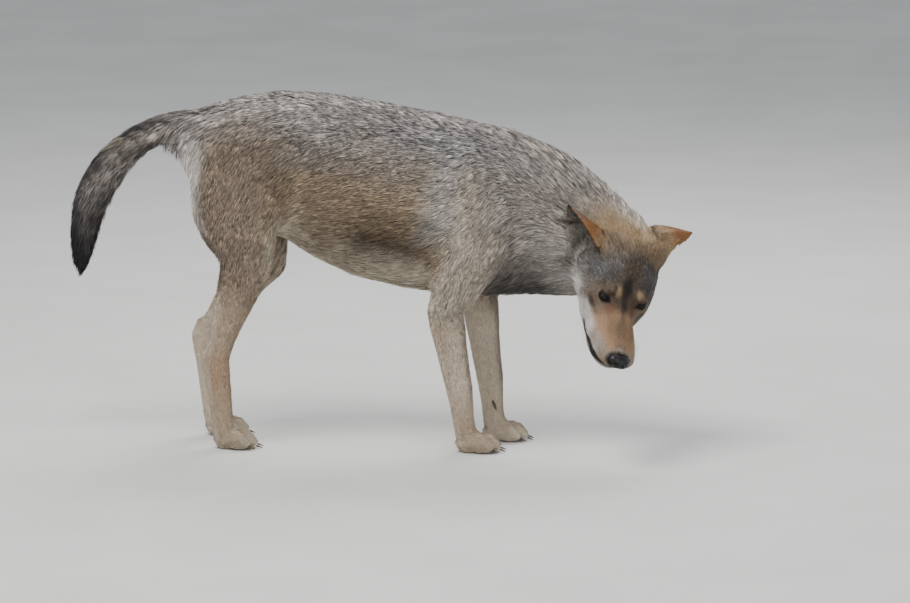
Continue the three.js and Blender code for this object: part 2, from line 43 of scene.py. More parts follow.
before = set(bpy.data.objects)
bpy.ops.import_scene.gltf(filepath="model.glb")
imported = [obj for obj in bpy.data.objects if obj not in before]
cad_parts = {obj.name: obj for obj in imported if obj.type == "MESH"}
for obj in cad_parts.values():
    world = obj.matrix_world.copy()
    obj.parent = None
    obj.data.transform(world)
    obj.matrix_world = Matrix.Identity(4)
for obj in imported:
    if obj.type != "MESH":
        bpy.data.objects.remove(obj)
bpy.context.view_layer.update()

MM = 0.001
BODY = "root"
SEED = 7
EYE_NODES = ("eye_right", "eye_left")
EAR_NODES = ("ear_right", "ear_left")
CLAW_NODES = tuple(sorted(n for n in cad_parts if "claw" in n))
FLESH_NODES = tuple(
    sorted(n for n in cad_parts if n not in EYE_NODES + CLAW_NODES + ("nose_pad",))
)

# ---- the head's own frame: +X to the nose, +Y to the wolf's left, +Z up, the origin between the eyes
HEAD_TURN = (-24.0, 28.5, -79.5)  # roll, pitch and yaw in degrees
HEAD_SCALE = 1.12  # millimetres to one of the head's units
HEAD_UNIT = HEAD_SCALE * MM
HEAD_DRAWN_AT = (516, -172, 339)  # the head's origin in the body's drawing, in millimetres
# each eye's centre, inner corner and outer corner, by its side
EYES = {
    -1: ((-3.4, -39.0, -8.0), (12.6, -31.5, -8.2), (-13.4, -52.5, -4.8)),
    1: ((-8.0, 27.5, -4.0), (7.0, 19.5, -3.25), (-17.0, 41.5, -1.75)),
}
EYE_RADIUS = 12 / HEAD_SCALE
NOSE_AT = (122.0, -6.0, -48.0)
NOSE_HALF = (13.0, 19.5, 11.5)
MUZZLE_ASIDE = ((-36, -8, 18, 48, 80, 104, 126), (0, -5, -9, -4, -3.5, -4, -5))  # x, and y of its middle
MUZZLE_LEAN = 0.1  # how far its lower parts stand aside, as a share of their depth
# the line between the lips: x, and its height
MOUTH_LINE = ((7, 18, 38, 63, 80, 107, 116, 122), (-75, -76, -74, -66, -63.5, -62.5, -65, -66))
MOUTH_CORNER = 6.0  # x of the mouth's corner
EARS = {
    "right": dict(base=(-100, -82, 7), towards=(-0.363, -0.656, 0.661), open=(0.6, -0.73, -0.34), width=45),
    "left": dict(base=(-132, 55, 47), towards=(-0.6, 0.785, 0.166), open=(0.22, 0.13, -0.88), width=31),
}
EAR_LENGTH = 100 / HEAD_SCALE
EAR_BELOW = 0.25  # the share of its length that an ear runs on into the skull
EAR_ROLL = 1.95  # half the angle that an ear's edge curls through at its base
EAR_DEPTH = 1.2  # how deep an ear's cup is, against its half width


def ball_centre(node):
    """The centre of the sphere that a node's corners lie on."""
    co = np.array([v.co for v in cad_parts[node].data.vertices], float)
    fit = np.c_[2 * co, np.ones(len(co))]
    return np.linalg.lstsq(fit, (co**2).sum(1), rcond=None)[0][:3]


HEAD_AXES = np.array(Euler([math.radians(a) for a in HEAD_TURN], "XYZ").to_matrix())
BETWEEN_EYES = np.mean([EYES[1][0], EYES[-1][0]], 0)
HEAD_ORIGIN = np.mean([ball_centre(n) for n in EYE_NODES], 0) - HEAD_AXES @ BETWEEN_EYES * HEAD_UNIT
SHIFT = HEAD_ORIGIN - np.array(HEAD_DRAWN_AT) * MM


def from_drawing(points):
    """Places in the body's drawing, in millimetres, as places in the row frame."""
    return np.asarray(points, float) * MM + SHIFT


def to_drawing(points):
    return (points - SHIFT) / MM


def from_head(points):
    """Places in the head's frame as places in the row frame."""
    return np.asarray(points, float) * HEAD_UNIT @ HEAD_AXES.T + HEAD_ORIGIN


def to_head(points):
    return (points - HEAD_ORIGIN) @ HEAD_AXES / HEAD_UNIT


# ---- small number helpers
def unit(v):
    return v / np.maximum(np.linalg.norm(v, axis=-1, keepdims=True), 1e-12)


def step(x, low, high):
    """0 below low and 1 above high, with a smooth rise between."""
    t = np.clip((x - low) / (high - low), 0, 1)
    return t * t * (3 - 2 * t)


def blob(points, at, size):
    """1 near a place, falling smoothly to nothing at `size` along each axis."""
    d = ((points - np.asarray(at, float)) / np.asarray(size, float)) ** 2
    return np.exp(-2.2 * d.sum(1) ** 2)


def sided(points):
    """The places with both sides of the body folded onto +Y."""
    return np.c_[points[:, 0], np.abs(points[:, 1]), points[:, 2]]


def centred(h):
    """Places in the head's frame, moved so that the muzzle's middle lies on y = 0."""
    aside = np.interp(h[:, 0], *MUZZLE_ASIDE)
    aside = aside + MUZZLE_LEAN * np.minimum(h[:, 2] + 8, 0) * step(h[:, 0], -12, 38)
    return np.c_[h[:, 0], h[:, 1] - aside, h[:, 2]]


def linear(rgb):
    """A colour from 0 to 255 as light."""
    c = np.asarray(rgb, float) / 255
    return np.where(c < 0.04045, c / 12.92, ((c + 0.055) / 1.055) ** 2.4)


# ---- the kinds of fur: length, depth under the outline and tuft width in mm, tufts to the square
# centimetre, clump width in mm, how far a clump draws its tips together, the colour, how dark the
# tips are, how mixed the tones are, and how far the flesh below is smoothed in mm
FUR = {
    "back": (32, 11, 1.6, 17, 8, 0.55, (182, 174, 168), 0.68, 0.75, 14),
    "flank": (28, 9, 1.5, 17, 7, 0.5, (156, 136, 110), 0.5, 0.55, 14),
    "belly": (34, 9, 1.5, 16, 9, 0.5, (200, 188, 168), 0.05, 0.2, 13),
    "mane": (44, 15, 1.6, 19, 9, 0.6, (202, 193, 184), 0.6, 0.75, 13),
    "neck": (34, 12, 1.5, 19, 8, 0.55, (188, 178, 168), 0.5, 0.6, 12),
    "throat": (36, 12, 1.5, 17, 9, 0.55, (126, 118, 110), 0.45, 0.6, 11),
    "shoulder": (22, 7, 1.4, 22, 7, 0.5, (172, 160, 142), 0.45, 0.55, 11),
    "thigh": (24, 8, 1.4, 20.5, 7, 0.5, (136, 120, 103), 0.4, 0.5, 12),
    "breech": (36, 11, 1.5, 19, 8, 0.5, (206, 198, 188), 0.05, 0.2, 11),
    "leg": (12, 3.6, 1.1, 41, 4, 0.35, (174, 154, 132), 0.12, 0.3, 6),
    "shin": (9, 2.4, 1.0, 52, 3, 0.3, (166, 145, 121), 0.06, 0.25, 4.5),
    "paw": (6, 1.5, 0.8, 72, 3, 0.3, (176, 160, 140), 0.04, 0.2, 1.6),
    "tail": (44, 15, 1.5, 28, 10, 0.55, (158, 149, 142), 0.75, 0.7, 9),
    "brush": (20, 15, 1.4, 46, 6, 0.1, (70, 68, 70), 0.75, 0.6, 4),
    "muzzle": (5, 1.2, 0.6, 130, 2, 0.2, (160, 128, 98), 0.1, 0.2, 3),
    "face": (7.5, 2.0, 0.7, 115, 3, 0.25, (108, 92, 76), 0.3, 0.45, 4.5),
    "crown": (12, 3.6, 0.8, 80, 3, 0.3, (160, 137, 108), 0.2, 0.35, 5),
    "cheek": (17, 5.0, 0.9, 66, 5, 0.4, (190, 184, 174), 0.15, 0.3, 6),
    "ruff": (28, 9, 1.2, 37, 7, 0.5, (172, 164, 152), 0.4, 0.45, 9),
    "ear": (8, 0.9, 0.7, 110, 3, 0.25, (142, 96, 56), 0.15, 0.3, 2),
}
FUR_NAMES = tuple(FUR)
LENGTH, DEPTH, WIDTH, COUNT, CLUMP, PULL, RED, GREEN, BLUE, TICK, MIX, SOFT = range(12)
FUR_VALUES = np.array([[*v[:6], *linear(v[6]), *v[7:]] for v in FUR.values()])

# ---- the lie of the fur: strokes of (kind, from, to), in the body's drawing; y > 0 stands for both sides
BODY_STROKES = (
    ("back", (300, 0, 668), (120, 0, 695)),
    ("back", (120, 0, 700), (-120, 0, 740)),
    ("back", (-120, 0, 742), (-320, 0, 712)),
    ("back", (-320, 0, 712), (-392, 0, 640)),
    ("back", (270, 75, 625), (60, 82, 645)),
    ("back", (60, 80, 650), (-180, 70, 670)),
    ("flank", (130, 106, 560), (-60, 100, 550)),
    ("flank", (-60, 96, 560), (-200, 88, 560)),
    ("flank", (140, 100, 430), (-20, 100, 385)),
    ("flank", (0, 100, 470), (-130, 90, 440)),
    ("belly", (190, 40, 312), (20, 50, 335)),
    ("belly", (20, 45, 338), (-100, 45, 385)),
    ("belly", (-100, 60, 400), (-180, 55, 425)),
    ("belly", (-95, 84, 450), (-150, 80, 400)),
    ("throat", (352, 0, 520), (335, 0, 400)),
    ("throat", (335, 35, 400), (250, 40, 318)),
    ("thigh", (-190, 92, 640), (-240, 104, 540)),
    ("thigh", (-240, 108, 540), (-270, 108, 440)),
    ("thigh", (-320, 100, 640), (-345, 98, 500)),
    ("breech", (-386, 48, 610), (-372, 52, 470)),
    ("thigh", (-345, 95, 500), (-325, 90, 410)),
    ("mane", (535, -52, 468), (430, -15, 562)),
    ("mane", (430, -12, 566), (320, 0, 640)),
    ("neck", (500, -120, 430), (400, -100, 450)),
    ("neck", (400, -95, 470), (270, -95, 510)),
    ("neck", (470, -110, 350), (390, -95, 330)),
    ("neck", (420, -95, 400), (330, -95, 340)),
    ("neck", (500, 30, 430), (400, 76, 460)),
    ("neck", (400, 80, 460), (270, 95, 510)),
    ("neck", (470, 30, 350), (380, 76, 330)),
    ("throat", (490, -60, 300), (380, -15, 300)),
    ("throat", (380, -10, 302), (300, 0, 318)),
    ("back", (-330, 0, 664), (-391, 0, 668)),
    ("tail", (-391, 0, 668), (-450, 0, 652)),
    ("tail", (-450, 0, 652), (-504, 0, 619)),
    ("tail", (-504, 0, 619), (-548, 0, 577)),
    ("tail", (-548, 0, 577), (-581, 0, 527)),
    ("tail", (-581, 0, 527), (-600, 0, 470)),
    ("tail", (-600, 0, 470), (-608, 0, 420)),
    ("brush", (-609, 0, 396), (-609, 0, 335)),
)
FORE_LEGS = (
    (-1, (138, 78, 312), (171, 68, 122), (186, 66, 0)),
    (1, (196, 78, 312), (222, 66, 122), (232, 64, 0)),
)
HIND_LEGS = (
    (-1, (-262, 76, 400), (-327, 70, 186), (-312, 70, 0)),
    (1, (-240, 76, 396), (-366, 72, 206), (-346, 70, 0)),
)
TOES_AHEAD = (62, 0, 14)  # from the middle of a foot to its toes
# the same in the head's frame
HEAD_STROKES = (
    ("muzzle", (118, -5, -34), (62, -4, -14)),
    ("muzzle", (62, -4, -14), (16, 0, 4)),
    ("face", (16, 0, 5), (-30, 0, 38)),
    ("crown", (-30, 0, 42), (-85, 0, 62)),
    ("crown", (-85, 0, 62), (-150, 0, 45)),
    ("face", (8, 30, 8), (-35, 48, 28)),
    ("crown", (-38, 50, 30), (-95, 62, 38)),
    ("muzzle", (116, 22, -52), (64, 40, -50)),
    ("muzzle", (64, 40, -50), (22, 48, -40)),
    ("muzzle", (100, 34, -72), (40, 44, -72)),
    ("face", (18, 50, -36), (-32, 66, -34)),
    ("cheek", (-32, 70, -36), (-85, 84, -40)),
    ("cheek", (20, 48, -72), (-40, 64, -78)),
    ("ruff", (-48, 70, -82), (-120, 80, -90)),
    ("ruff", (-90, 84, -50), (-150, 74, -60)),
    ("face", (-30, 62, 0), (-60, 72, 2)),
    ("cheek", (-60, 76, -4), (-110, 80, -16)),
    ("face", (104, -3, -80), (30, -2, -98)),
    ("cheek", (30, 0, -99), (-40, 0, -104)),
    ("ruff", (-40, 0, -104), (-120, 0, -96)),
    ("ruff", (-130, 66, -10), (-175, 52, -16)),
    ("crown", (-84, 62, 30), (-112, 74, 40)),
    ("crown", (-118, 42, 56), (-150, 52, 50)),
)


def strokes():
    """Every stroke as (kind, from, to) in the row frame."""
    rows = []

    def both(kind, start, end, place):
        rows.append((kind, place(start), place(end)))
        if min(start[1], end[1]) > 0:
            mirrored = [(x, -y, z) for x, y, z in (start, end)]
            rows.append((kind, place(mirrored[0]), place(mirrored[1])))

    def down_the_leg(kinds, chain):
        rows.extend((k, from_drawing(a), from_drawing(b)) for k, a, b in zip(kinds, chain, chain[1:]))

    for kind, start, end in BODY_STROKES:
        if kind == "neck":  # the neck is turned, so its sides differ
            rows.append((kind, from_drawing(start), from_drawing(end)))
        else:
            both(kind, start, end, from_drawing)
    for row in HEAD_STROKES:
        both(*row, from_head)
    for side, *joints in FORE_LEGS:
        elbow, wrist, foot = (np.array((x, side * y, z)) for x, y, z in joints)
        top = np.array((205, side * 108, 600))
        middle = np.array((elbow[0] + 48, side * 116, 450))
        toes = foot + TOES_AHEAD
        upper = (top, middle, elbow + (0, side * 20, 0), elbow)
        chain = (*upper, (elbow + wrist) / 2, wrist, foot + (4, 0, 34), toes)
        down_the_leg(("shoulder", "shoulder", "shoulder", "leg", "leg", "shin", "paw"), chain)
    for side, *joints in HIND_LEGS:
        knee, hock, foot = (np.array((x, side * y, z)) for x, y, z in joints)
        toes = foot + TOES_AHEAD
        shin = (knee * 0.7 + hock * 0.3, hock + (0, 0, 20), foot * 0.8 + hock * 0.2)
        down_the_leg(("thigh", "leg", "shin", "paw"), (knee + (0, 0, 30), *shin, toes))
    for ear in EARS.values():
        base = np.array(ear["base"], float)
        rows.append(("ear", from_head(base), from_head(base + unit(np.array(ear["towards"])) * EAR_LENGTH)))
    return rows


STROKES = strokes()


# ---- meshes and arrays
def rows_of(items, key, width, kind):
    """What a collection of a mesh holds under a key, as the rows of an array."""
    found = np.empty(len(items) * width, kind)
    items.foreach_get(key, found)
    return found.reshape(-1, width)


def mesh_of(bm, name):
    """A mesh made from a bmesh, which is freed."""
    mesh = bpy.data.meshes.new(name)
    bm.to_mesh(mesh)
    bm.free()
    return mesh


def smoothed(mesh):
    """The mesh, shaded smooth."""
    mesh.polygons.foreach_set("use_smooth", np.ones(len(mesh.polygons), bool))
    return mesh


def store(mesh, name, kind, values):
    """Keeps a colour or a vector for each point of a mesh, for its material to read."""
    key = "color" if kind == "FLOAT_COLOR" else "vector"
    made = mesh.attributes.new(name, kind, "POINT")
    made.data.foreach_set(key, values.astype(np.float32).ravel())


class Surface:
    """A mesh's points, triangles and edges, for smoothing and for sculpting by rule."""

    def __init__(self, mesh):
        self.points = rows_of(mesh.vertices, "co", 3, np.float32).astype(float)
        first, second = rows_of(mesh.edges, "vertices", 2, np.int32).T
        self.ends = np.concatenate([first, second])
        self.others = np.concatenate([second, first])
        self.near = np.maximum(np.bincount(self.ends, minlength=len(self.points)), 1)
        mesh.calc_loop_triangles()
        self.tris = rows_of(mesh.loop_triangles, "vertices", 3, np.int32)

    def spread(self, values, steps, share=0.5):
        """The values, each drawn towards the mean of its neighbours again and again."""
        flat = values.ndim == 1
        values = values[:, None] if flat else values
        share = share[:, None] if isinstance(share, np.ndarray) else share
        count = len(self.points)
        for _ in range(steps):
            sums = [np.bincount(self.ends, column[self.others], count) for column in values.T]
            values = values + (np.stack(sums, 1) / self.near[:, None] - values) * share
        return values[:, 0] if flat else values

    def normals(self):
        a, b, c = (self.points[self.tris[:, k]] for k in range(3))
        face = np.cross(b - a, c - a)
        corners = self.tris.T.ravel()
        sums = [np.bincount(corners, np.tile(column, 3), len(self.points)) for column in face.T]
        return unit(np.stack(sums, 1))


def along_strokes(points, ear_share):
    """At each place, the kinds' values and the lie of the fur, blended from the strokes nearby."""
    sums = np.zeros((len(points), FUR_VALUES.shape[1]))
    lay = np.zeros((len(points), 3))
    total = np.zeros(len(points))
    best = np.zeros(len(points))
    kind = np.zeros(len(points), int)
    for name, start, end in STROKES:
        line = end - start
        t = np.clip((points - start) @ line / (line @ line), 0, 1)
        gap = np.linalg.norm(points - start - t[:, None] * line, axis=1)
        weight = 1 / (gap**2 + (7 * MM) ** 2) ** 3
        weight *= np.where((ear_share > 0.5) == (name == "ear"), 1.0, 1e-4)
        index = FUR_NAMES.index(name)
        sums += weight[:, None] * FUR_VALUES[index]
        lay += weight[:, None] * unit(line)
        total += weight
        kind[weight > best] = index
        best = np.maximum(best, weight)
    return sums / total[:, None], unit(lay / total[:, None]), kind


def tree_of(nodes):
    """A search tree over the faces of some nodes."""
    merged = bmesh.new()
    for name in nodes:
        merged.from_mesh(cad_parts[name].data)
    tree = BVHTree.FromBMesh(merged)
    merged.free()
    return tree


def ear_share_of(points):
    """1 on the ears and 0 elsewhere."""
    share = np.zeros(len(points))
    ears = tree_of(EAR_NODES)
    rest = tree_of(("head", "neck"))
    near = np.zeros(len(points), bool)
    for ear in EARS.values():
        middle = from_head(np.array(ear["base"]) + unit(np.array(ear["towards"])) * EAR_LENGTH * 0.4)
        near |= np.linalg.norm(points - middle, axis=1) < 75 * MM
    for i in np.nonzero(near)[0]:
        place = Vector(points[i])
        to_ear = ears.find_nearest(place)[3]
        if to_ear < 5 * MM and to_ear < rest.find_nearest(place)[3]:
            share[i] = 1
    return share


def evaluated(obj):
    """What an object's modifiers make of its mesh, as a mesh of its own."""
    bpy.context.view_layer.update()
    graph = bpy.context.evaluated_depsgraph_get()
    return bpy.data.meshes.new_from_object(obj.evaluated_get(graph))


def new_object(name, data):
    obj = bpy.data.objects.new(name, data)
    bpy.context.scene.collection.objects.link(obj)
    return obj


def aimed(name, data, place, way):
    """A lamp or a camera at a place, looking along a way."""
    obj = new_object(name, data)
    obj.location = place
    obj.rotation_euler = way.to_track_quat("-Z", "Y").to_euler()
    return obj


def main_body(count, surface):
    """Marks the points of the largest connected part."""
    label = np.arange(count)
    while True:
        low = np.minimum(label[surface.ends], label[surface.others])
        new = label.copy()
        np.minimum.at(new, surface.ends, low)
        new = new[new]
        if (new == label).all():
            return label == np.bincount(label).argmax()
        label = new


CLOSING = 0.45 * MM  # how far each node of flesh grows, so that the cuts between nodes close
VOXEL = 2.9 * MM
SOFTENING_STEPS = 120
SOLE_HEIGHT = 0.4 * MM


def fused_flesh():
    """The nodes of flesh as one closed mesh of even faces."""
    joined = bmesh.new()
    for name in FLESH_NODES:
        part = bmesh.new()
        part.from_mesh(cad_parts[name].data)
        bmesh.ops.remove_doubles(part, verts=part.verts, dist=0.01 * MM)
        part.normal_update()
        for v in part.verts:
            v.co += v.normal * CLOSING
        mesh = mesh_of(part, name)
        joined.from_mesh(mesh)
        bpy.data.meshes.remove(mesh)
    for node in EYE_NODES:
        place = Matrix.Translation(ball_centre(node))
        bmesh.ops.create_icosphere(joined, subdivisions=3, radius=(EYE_RADIUS + 1) * HEAD_UNIT, matrix=place)
    flesh = new_object("flesh", mesh_of(joined, "flesh"))
    fuse = flesh.modifiers.new("fuse", "REMESH")
    fuse.mode = "VOXEL"
    fuse.voxel_size = VOXEL
    made = evaluated(flesh)
    bpy.data.objects.remove(flesh)
    return made


def write_points(mesh, points):
    mesh.vertices.foreach_set("co", points.astype(np.float32).ravel())
    mesh.update()


def keep_only(mesh, kept):
    """Deletes the points of a mesh that aren't marked."""
    bm = bmesh.new()
    bm.from_mesh(mesh)
    bm.verts.ensure_lookup_table()
    bmesh.ops.delete(bm, geom=[bm.verts[i] for i in np.nonzero(~kept)[0]], context="VERTS")
    bm.to_mesh(mesh)
    bm.free()


def shrink_to_skin(mesh):
    """Smooths the fused flesh and draws it in by the depth of the coat."""
    surface = Surface(mesh)
    kept = main_body(len(surface.points), surface)
    if not kept.all():
        keep_only(mesh, kept)
        surface = Surface(mesh)
    ears = ear_share_of(surface.points)
    values, _, _ = along_strokes(surface.points, ears)
    values = surface.spread(values, 12)
    h = to_head(surface.points)
    for ear in EARS.values():
        values[:, SOFT] += 6 * (1 - ears) * blob(h, ear["base"], (48, 48, 48))
    reach = values[:, SOFT] * MM
    share = np.clip(2 * reach**2 / (VOXEL**2 * SOFTENING_STEPS), 0.002, 0.6)
    surface.points = surface.spread(surface.points, SOFTENING_STEPS, share)
    depth = surface.spread(values[:, DEPTH], 25) * MM
    inward = unit(surface.spread(surface.normals(), 6, np.clip(share * 2, 0, 0.5)))
    surface.points -= inward * depth[:, None]
    surface.points = surface.spread(surface.points, 6, np.clip(share, 0, 0.5))
    surface.points[:, 2] = np.maximum(surface.points[:, 2], SOLE_HEIGHT)
    write_points(mesh, surface.points)
    return values


def thinned(mesh, values, share):
    """The mesh with fewer faces where the coat is long."""
    body = new_object("thinning", mesh)
    group = body.vertex_groups.new(name="long coat")
    weight = step(values[:, DEPTH], 2.6, 6.0)
    for level in np.arange(1, 11) / 10:
        rows = np.nonzero(np.round(weight, 1) == np.round(level, 1))[0]
        group.add(rows.tolist(), float(level), "REPLACE")
    thin = body.modifiers.new("thin", "DECIMATE")
    thin.ratio = share
    thin.vertex_group = group.name
    thin.vertex_group_factor = 1.0
    thin.use_collapse_triangulate = True
    made = evaluated(body)
    bpy.data.objects.remove(body)
    return made


def unwrapped(mesh):
    """Lays the skin's own shape out flat in a UV map."""
    body = new_object("unwrapping", mesh)
    bpy.context.view_layer.objects.active = body
    body.select_set(True)
    mesh.uv_layers.new(name="OFBake")
    bpy.ops.object.mode_set(mode="EDIT")
    bpy.ops.mesh.select_all(action="SELECT")
    bpy.ops.uv.smart_project(angle_limit=math.radians(66), island_margin=0.002)
    bpy.ops.object.mode_set(mode="OBJECT")
    bpy.data.objects.remove(body)
    return mesh


def refined(mesh, wanted):
    """Splits the faces whose middles `wanted` marks into four."""
    bm = bmesh.new()
    bm.from_mesh(mesh)
    middles = np.array([f.calc_center_median() for f in bm.faces])
    chosen = wanted(middles)
    bm.faces.ensure_lookup_table()
    edges = {e for i in np.nonzero(chosen)[0] for e in bm.faces[i].edges}
    bmesh.ops.subdivide_edges(bm, edges=sorted(edges, key=lambda e: e.index), cuts=1, use_grid_fill=True)
    bmesh.ops.triangulate(bm, faces=[f for f in bm.faces if len(f.verts) > 4])
    bm.to_mesh(mesh)
    bm.free()


# ---- the head's finer shape, in its own frame
# (x, y, z, reach, out): y > 0 stands for both sides
PRESSES = (
    (34, 40, -30, 16, -3.2),  # the hollow before the eye
    (90, 30, -62, 15, 2.0),  # the whisker pad
    (60, 38, -58, 18, -0.8),
    (8, 0, 6, 15, -4.0),  # the stop
    (-40, 0, 46, 14, -1.8),  # the furrow of the forehead
    (-60, 62, 14, 18, -2.4),  # the temple
    (-38, 72, -26, 18, 1.6),  # the cheekbone
    (-12, 36, 20, 10, 1.6),  # the brow
    (70, 0, -18, 10, -0.8),  # the groove of the bridge
    (60, 16, -14, 8, 0.6),
    (104, -5, -84, 10, 1.2),  # the chin
    (114, 0, -33, 10, 2.2),  # the flesh that meets the nose
    (114, 20, -48, 11, 1.8),
)
EYE_OPEN = dict(half_length=13.8, upper=0.2, lower=3.3)
LID = 1.3


def mouth_line(x):
    """The height of the line between the lips."""
    return np.interp(x, *MOUTH_LINE)


def mouth_gap(h):
    """The distance from the line between the lips, in the head's units."""
    aside = centred(h)[:, 1]
    beyond = np.maximum(MOUTH_CORNER - h[:, 0], 0)
    inside = np.maximum(-(np.abs(aside) - 6), 0) * (h[:, 0] < 100)
    return np.hypot(np.hypot(h[:, 2] - mouth_line(h[:, 0]), beyond), inside)


def nose_gap(h):
    """The distance from the nose's middle, as a share of the nose's own half sizes."""
    return np.linalg.norm((h - NOSE_AT) / (15, 21, 13.5), axis=1)


def eye_axes(side):
    """The eye's centre, the way it opens, the line of its corners and the way up its lids."""
    centre, inner, outer = (np.array(p) for p in EYES[side])
    along = unit(outer - inner)
    ahead = (inner + outer) / 2 - centre
    ahead = unit(ahead - along * (ahead @ along))
    up = np.cross(ahead, along) * side
    up = up if up[2] > 0 else -up
    return centre, ahead, along, up


def lid_gap(h, side):
    """For places in the head: how far outside the eye's opening they lie, how far across and upward from
    its middle, how far from the eye's centre, and where the lids' edges stand above and below."""
    centre, ahead, along, up = eye_axes(side)
    d = h - centre
    far = np.linalg.norm(d, axis=1)
    facing = np.maximum(d @ ahead, 1e-3)
    across = (EYE_RADIUS + LID) * (d @ along) / facing
    upward = (EYE_RADIUS + LID) * (d @ up) / facing
    share = np.clip(1 - (across / EYE_OPEN["half_length"]) ** 2, 0, 1)
    top = EYE_OPEN["upper"] * share**0.8
    bottom = -EYE_OPEN["lower"] * share
    gap = np.maximum(upward - top, bottom - upward)
    gap = np.maximum(gap, np.abs(across) - EYE_OPEN["half_length"])
    gap = np.where(d @ ahead > 0, gap, 99.0)
    return gap, across, upward, far, top, bottom


def sculpted_head(surface):
    """Moves the head's points into brows, lids, muzzle and lips."""
    near = np.linalg.norm(to_head(surface.points), axis=1) < 175
    ids = np.nonzero(near)[0]
    normals = surface.normals()[ids] @ HEAD_AXES
    h = to_head(surface.points[ids])
    straight = centred(h)
    folded = sided(straight)
    push = np.zeros(len(h))
    for x, y, z, reach, out in PRESSES:
        push += out * np.exp(-1.6 * ((folded - (x, y, z)) ** 2).sum(1) / reach**2)
    # the lips: a dark cleft with a rounded lip above it
    gap = mouth_gap(h)
    above = step(h[:, 2] - mouth_line(h[:, 0]), -1, 3)
    push += -2.6 * np.exp(-((gap / 1.5) ** 2)) + 1.1 * above * np.exp(-(((gap - 4.5) / 3.2) ** 2))
    # the cleft of the upper lip under the nose
    front = step(h[:, 0], 108, 118) * step(-h[:, 2], 52, 58)
    push += -2.0 * front * np.exp(-((straight[:, 1] / 1.5) ** 2))
    h += normals * push[:, None]
    for side in (1, -1):
        centre = eye_axes(side)[0]
        gap, across, upward, far, top, bottom = lid_gap(h, side)
        lid = EYE_RADIUS + LID
        edge = (np.abs(gap) < 0.4) & (np.abs(across) < 0.99 * EYE_OPEN["half_length"])
        upward = np.where(edge, np.where(upward > (top + bottom) / 2, top, bottom), upward)
        gap = np.where(edge, 0.01, gap)
        _, ahead, along, up = eye_axes(side)
        on_edge = lid * ahead + across[:, None] * along + upward[:, None] * up
        towards = unit(np.where(edge[:, None], on_edge, h - centre))
        hug = 1 - step(gap, 0.0, 9.0)
        outside = far + (lid + 0.25 - far) * hug
        outside = np.maximum(outside, lid * (gap < 30))
        rim = 0.7 * np.exp(-(((gap - 0.9) / 0.8) ** 2))
        fold = -0.9 * np.exp(-(((gap - 4.2) / 1.0) ** 2)) * (upward > 0)
        bag = -0.5 * np.exp(-(((gap - 3.6) / 1.0) ** 2)) * (upward <= 0)
        outside = outside + (rim + fold + bag) * (gap < 12)
        inside = EYE_RADIUS - 1.6
        target = np.where(gap > 0, outside, inside)
        take = (gap < 9.5) & (far < 34)
        h = np.where(take[:, None], centre + towards * target[:, None], h)
    surface.points[ids] = from_head(h)


def face_wanted(middles):
    h = to_head(middles)
    return (h[:, 0] > -62) & (np.linalg.norm(h * (0.8, 1.0, 1.0), axis=1) < 122)


def near_eyes(h, most_far, chosen):
    """The places near either eye whose distance outside its opening `chosen` accepts."""
    near = np.zeros(len(h), bool)
    for side in (1, -1):
        gap, *_, far, _, _ = lid_gap(h, side)
        near |= chosen(gap) & (far < most_far)
    return near


def eyes_wanted(middles):
    h = to_head(middles)
    lips = (mouth_gap(h) < 4.5) & (h[:, 0] > -4) & (h[:, 0] < 130) & (h[:, 2] < -56)
    return lips | near_eyes(h, 24, lambda gap: gap < 7)


def lids_wanted(middles):
    return near_eyes(to_head(middles), 20, lambda gap: np.abs(gap) < 2.2)


# ---- markings
def ear_place(h, normals):
    """For places on the ears: the share of the length, the share of the roll out to the rim, which is
    above 0 on the outer side, and whether they lie in the hollow."""
    best = np.full(len(h), 1e9)
    found = [np.zeros(len(h)) for _ in range(3)]
    for ear in EARS.values():
        base = np.array(ear["base"], float)
        ahead = unit(np.array(ear["towards"]))
        out = np.array(ear["open"], float)
        out = unit(out - ahead * (out @ ahead))
        side = np.cross(ahead, out)
        q = h - base
        t = np.clip(((q @ ahead) / EAR_LENGTH + EAR_BELOW) / (1 + EAR_BELOW), 0, 1)
        taper = np.maximum(0.02, 1 - t * t * 0.985) ** 0.75 * (0.9 + 0.4 * t * (1 - t))
        radius = ear["width"] / HEAD_SCALE * taper
        roll = EAR_ROLL * (1 - 0.45 * t)
        down = radius * np.cos(roll) - q @ out / EAR_DEPTH
        across = np.arctan2(q @ side, down) / roll
        outward = unit((q @ side)[:, None] * side - down[:, None] * out)
        beyond = np.hypot(q @ side, down) - radius
        hollow = ((normals * outward).sum(1) + beyond / 4 < 0).astype(float)
        gap = np.linalg.norm(q, axis=1)
        near = gap < best
        best = np.minimum(best, gap)
        across = across * np.sign(side[1] * base[1])
        for kept, value in zip(found, (t, across, hollow)):
            kept[near] = value[near]
    return found


